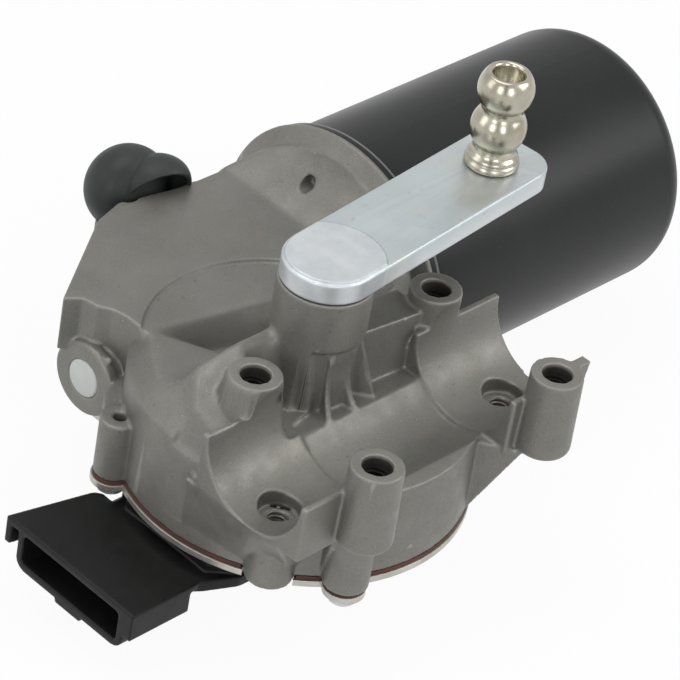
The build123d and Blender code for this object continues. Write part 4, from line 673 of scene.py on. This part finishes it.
def cap_hood():
    """Rubber hood beside the dome, hollow, and open downwards."""
    hood = bmesh.new()
    bmesh.ops.create_uvsphere(hood, u_segments=72, v_segments=48, radius=1.0)
    everything = hood.verts[:] + hood.edges[:] + hood.faces[:]
    bmesh.ops.bisect_plane(hood, geom=everything, plane_co=HOOD_MOUTH * HOOD_MOUTH_DEPTH, plane_no=HOOD_MOUTH,
                           clear_outer=True)
    away = UP.cross(RIGHT)
    right, up, back = HOOD_FROM_DOME
    middle = Vector(DOME) + RIGHT * right + UP * up + away * back
    length = RIGHT * cos(HOOD_TILT) + UP * sin(HOOD_TILT)
    height = UP * cos(HOOD_TILT) - RIGHT * sin(HOOD_TILT)
    for vert in hood.verts:
        u, v, w = (vert.co[k] * HOOD_HALF[k] for k in range(3))
        vert.co = to_frame(middle + length * u + height * v + away * w)
    mesh = to_mesh(hood, bpy.data.meshes.new("breather_hood"))
    mesh = with_modifier(mesh, "SOLIDIFY", thickness=HOOD_WALL * MM, offset=-1.0)
    return add_piece("breather_hood", mesh, "housing", "rubber_black")


def ventilation_cap():
    dome = cap_dome()
    hood = cap_hood()
    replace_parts(dome, "breather_cap")
    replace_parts(hood, "breather_cap")


# ---------------------------------------------------------------- stage
def board(name, half_x, half_y, material):
    corners = [(-half_x, -half_y, 0), (half_x, -half_y, 0), (half_x, half_y, 0), (-half_x, half_y, 0)]
    mesh = bpy.data.meshes.new(name)
    mesh.from_pydata(corners, [], [(0, 1, 2, 3)])
    mesh.materials.append(material)
    made = bpy.data.objects.new(name, mesh)
    bpy.context.scene.collection.objects.link(made)
    return made


def background_rays(tree):
    """1 for the rays that see the background: from the camera, off gloss and through glass."""
    rays = tree.nodes.new("ShaderNodeLightPath")
    seen = rays.outputs["Is Camera Ray"]
    for kind in ("Is Glossy Ray", "Is Transmission Ray"):
        most = tree.nodes.new("ShaderNodeMath")
        most.operation = "MAXIMUM"
        tree.links.new(seen, most.inputs[0])
        tree.links.new(rays.outputs[kind], most.inputs[1])
        seen = most.outputs[0]
    return seen


def floor():
    """Pale floor, mostly plain white to the camera, so that only the object's shadow shows on it."""
    g = Graph("floor_white")
    g.finish(g.ramp(g.noise(3, 2), ((0.3, (0.80, 0.80, 0.80)), (0.7, (0.82, 0.82, 0.82)))), 0.9)
    glow = g.node("ShaderNodeEmission")
    glow.inputs["Strength"].default_value = 1.0
    glow.inputs["Color"].default_value = (1, 1, 1, 1)
    both = g.node("ShaderNodeMixShader")
    g.link(g.math("MULTIPLY", background_rays(g.tree), FLOOR_WHITE), both.inputs[0])
    g.link(g.shader.outputs[0], both.inputs[1])
    g.link(glow.outputs[0], both.inputs[2])
    g.link(both.outputs[0], g.output.inputs[0])
    made = board("floor", FLOOR_HALF, FLOOR_HALF, g.material)
    made.location = (0, 0, cad_box[0][2] - FLOOR_GAP)


def world():
    """Soft light from all sides, behind a white background."""
    studio = bpy.data.worlds.new("studio")
    bpy.context.scene.world = studio
    studio.use_nodes = True
    tree = studio.node_tree
    tree.nodes.clear()
    out = tree.nodes.new("ShaderNodeOutputWorld")
    soft = tree.nodes.new("ShaderNodeBackground")
    soft.inputs["Color"].default_value = (0.95, 0.97, 1.0, 1)
    soft.inputs["Strength"].default_value = SOFT_LIGHT
    white = tree.nodes.new("ShaderNodeBackground")
    white.inputs["Strength"].default_value = 1.0
    both = tree.nodes.new("ShaderNodeMixShader")
    tree.links.new(background_rays(tree), both.inputs[0])
    tree.links.new(soft.outputs[0], both.inputs[1])
    tree.links.new(white.outputs[0], both.inputs[2])
    tree.links.new(both.outputs[0], out.inputs[0])


def lamp(name, place, size, power):
    data = bpy.data.lights.new(name, "AREA")
    data.shape = "RECTANGLE"
    data.size, data.size_y = size
    data.energy = power
    made = bpy.data.objects.new(name, data)
    made.location = place
    made.rotation_euler = (Vector(LAMP_TARGET) - Vector(place)).to_track_quat("-Z", "Y").to_euler()
    bpy.context.scene.collection.objects.link(made)


def lights():
    lamp("top_soft", (-0.1, 0.3, 1.15), (0.9, 0.9), 6.0)
    lamp("left_soft", (-1.0, 0.75, 0.55), (0.6, 0.9), 2.6)
    lamp("window_left", (-1.07, -0.26, 0.42), (0.28, 0.5), 2.4)
    lamp("window_right", (-0.52, -0.97, 0.42), (0.28, 0.5), 2.4)
    lamp("right_soft", (0.8, -0.95, 0.85), (0.9, 0.9), 9.0)


def flag():
    """Black card behind the camera, which polished pieces reflect between the two windows."""
    black = moulded("flag_black", (0.01, 0.01, 0.01), (0.015, 0.015, 0.015), 0.9)
    card = board("flag", *FLAG_HALF, black)
    card.location = EYE * FLAG_BACK
    card.rotation_euler = (-EYE).to_track_quat("-Z", "Y").to_euler()
    card.visible_camera = False
    card.visible_diffuse = False
    card.visible_shadow = False


def camera():
    data = bpy.data.cameras.new("camera")
    data.lens = LENS
    data.sensor_width = SENSOR
    data.clip_start = CLIP_START
    made = bpy.data.objects.new("camera", data)
    turn = Matrix((RIGHT, UP, RIGHT.cross(UP))).transposed().to_4x4()
    made.matrix_world = Matrix.Translation(EYE) @ turn
    bpy.context.scene.collection.objects.link(made)
    bpy.context.scene.camera = made


paint_nodes()
cast_housing()
connector()
tapped_holes()
ball_stud()
ventilation_cap()
floor()
world()
lights()
flag()
camera()
bpy.context.scene.view_settings.view_transform = "Standard"
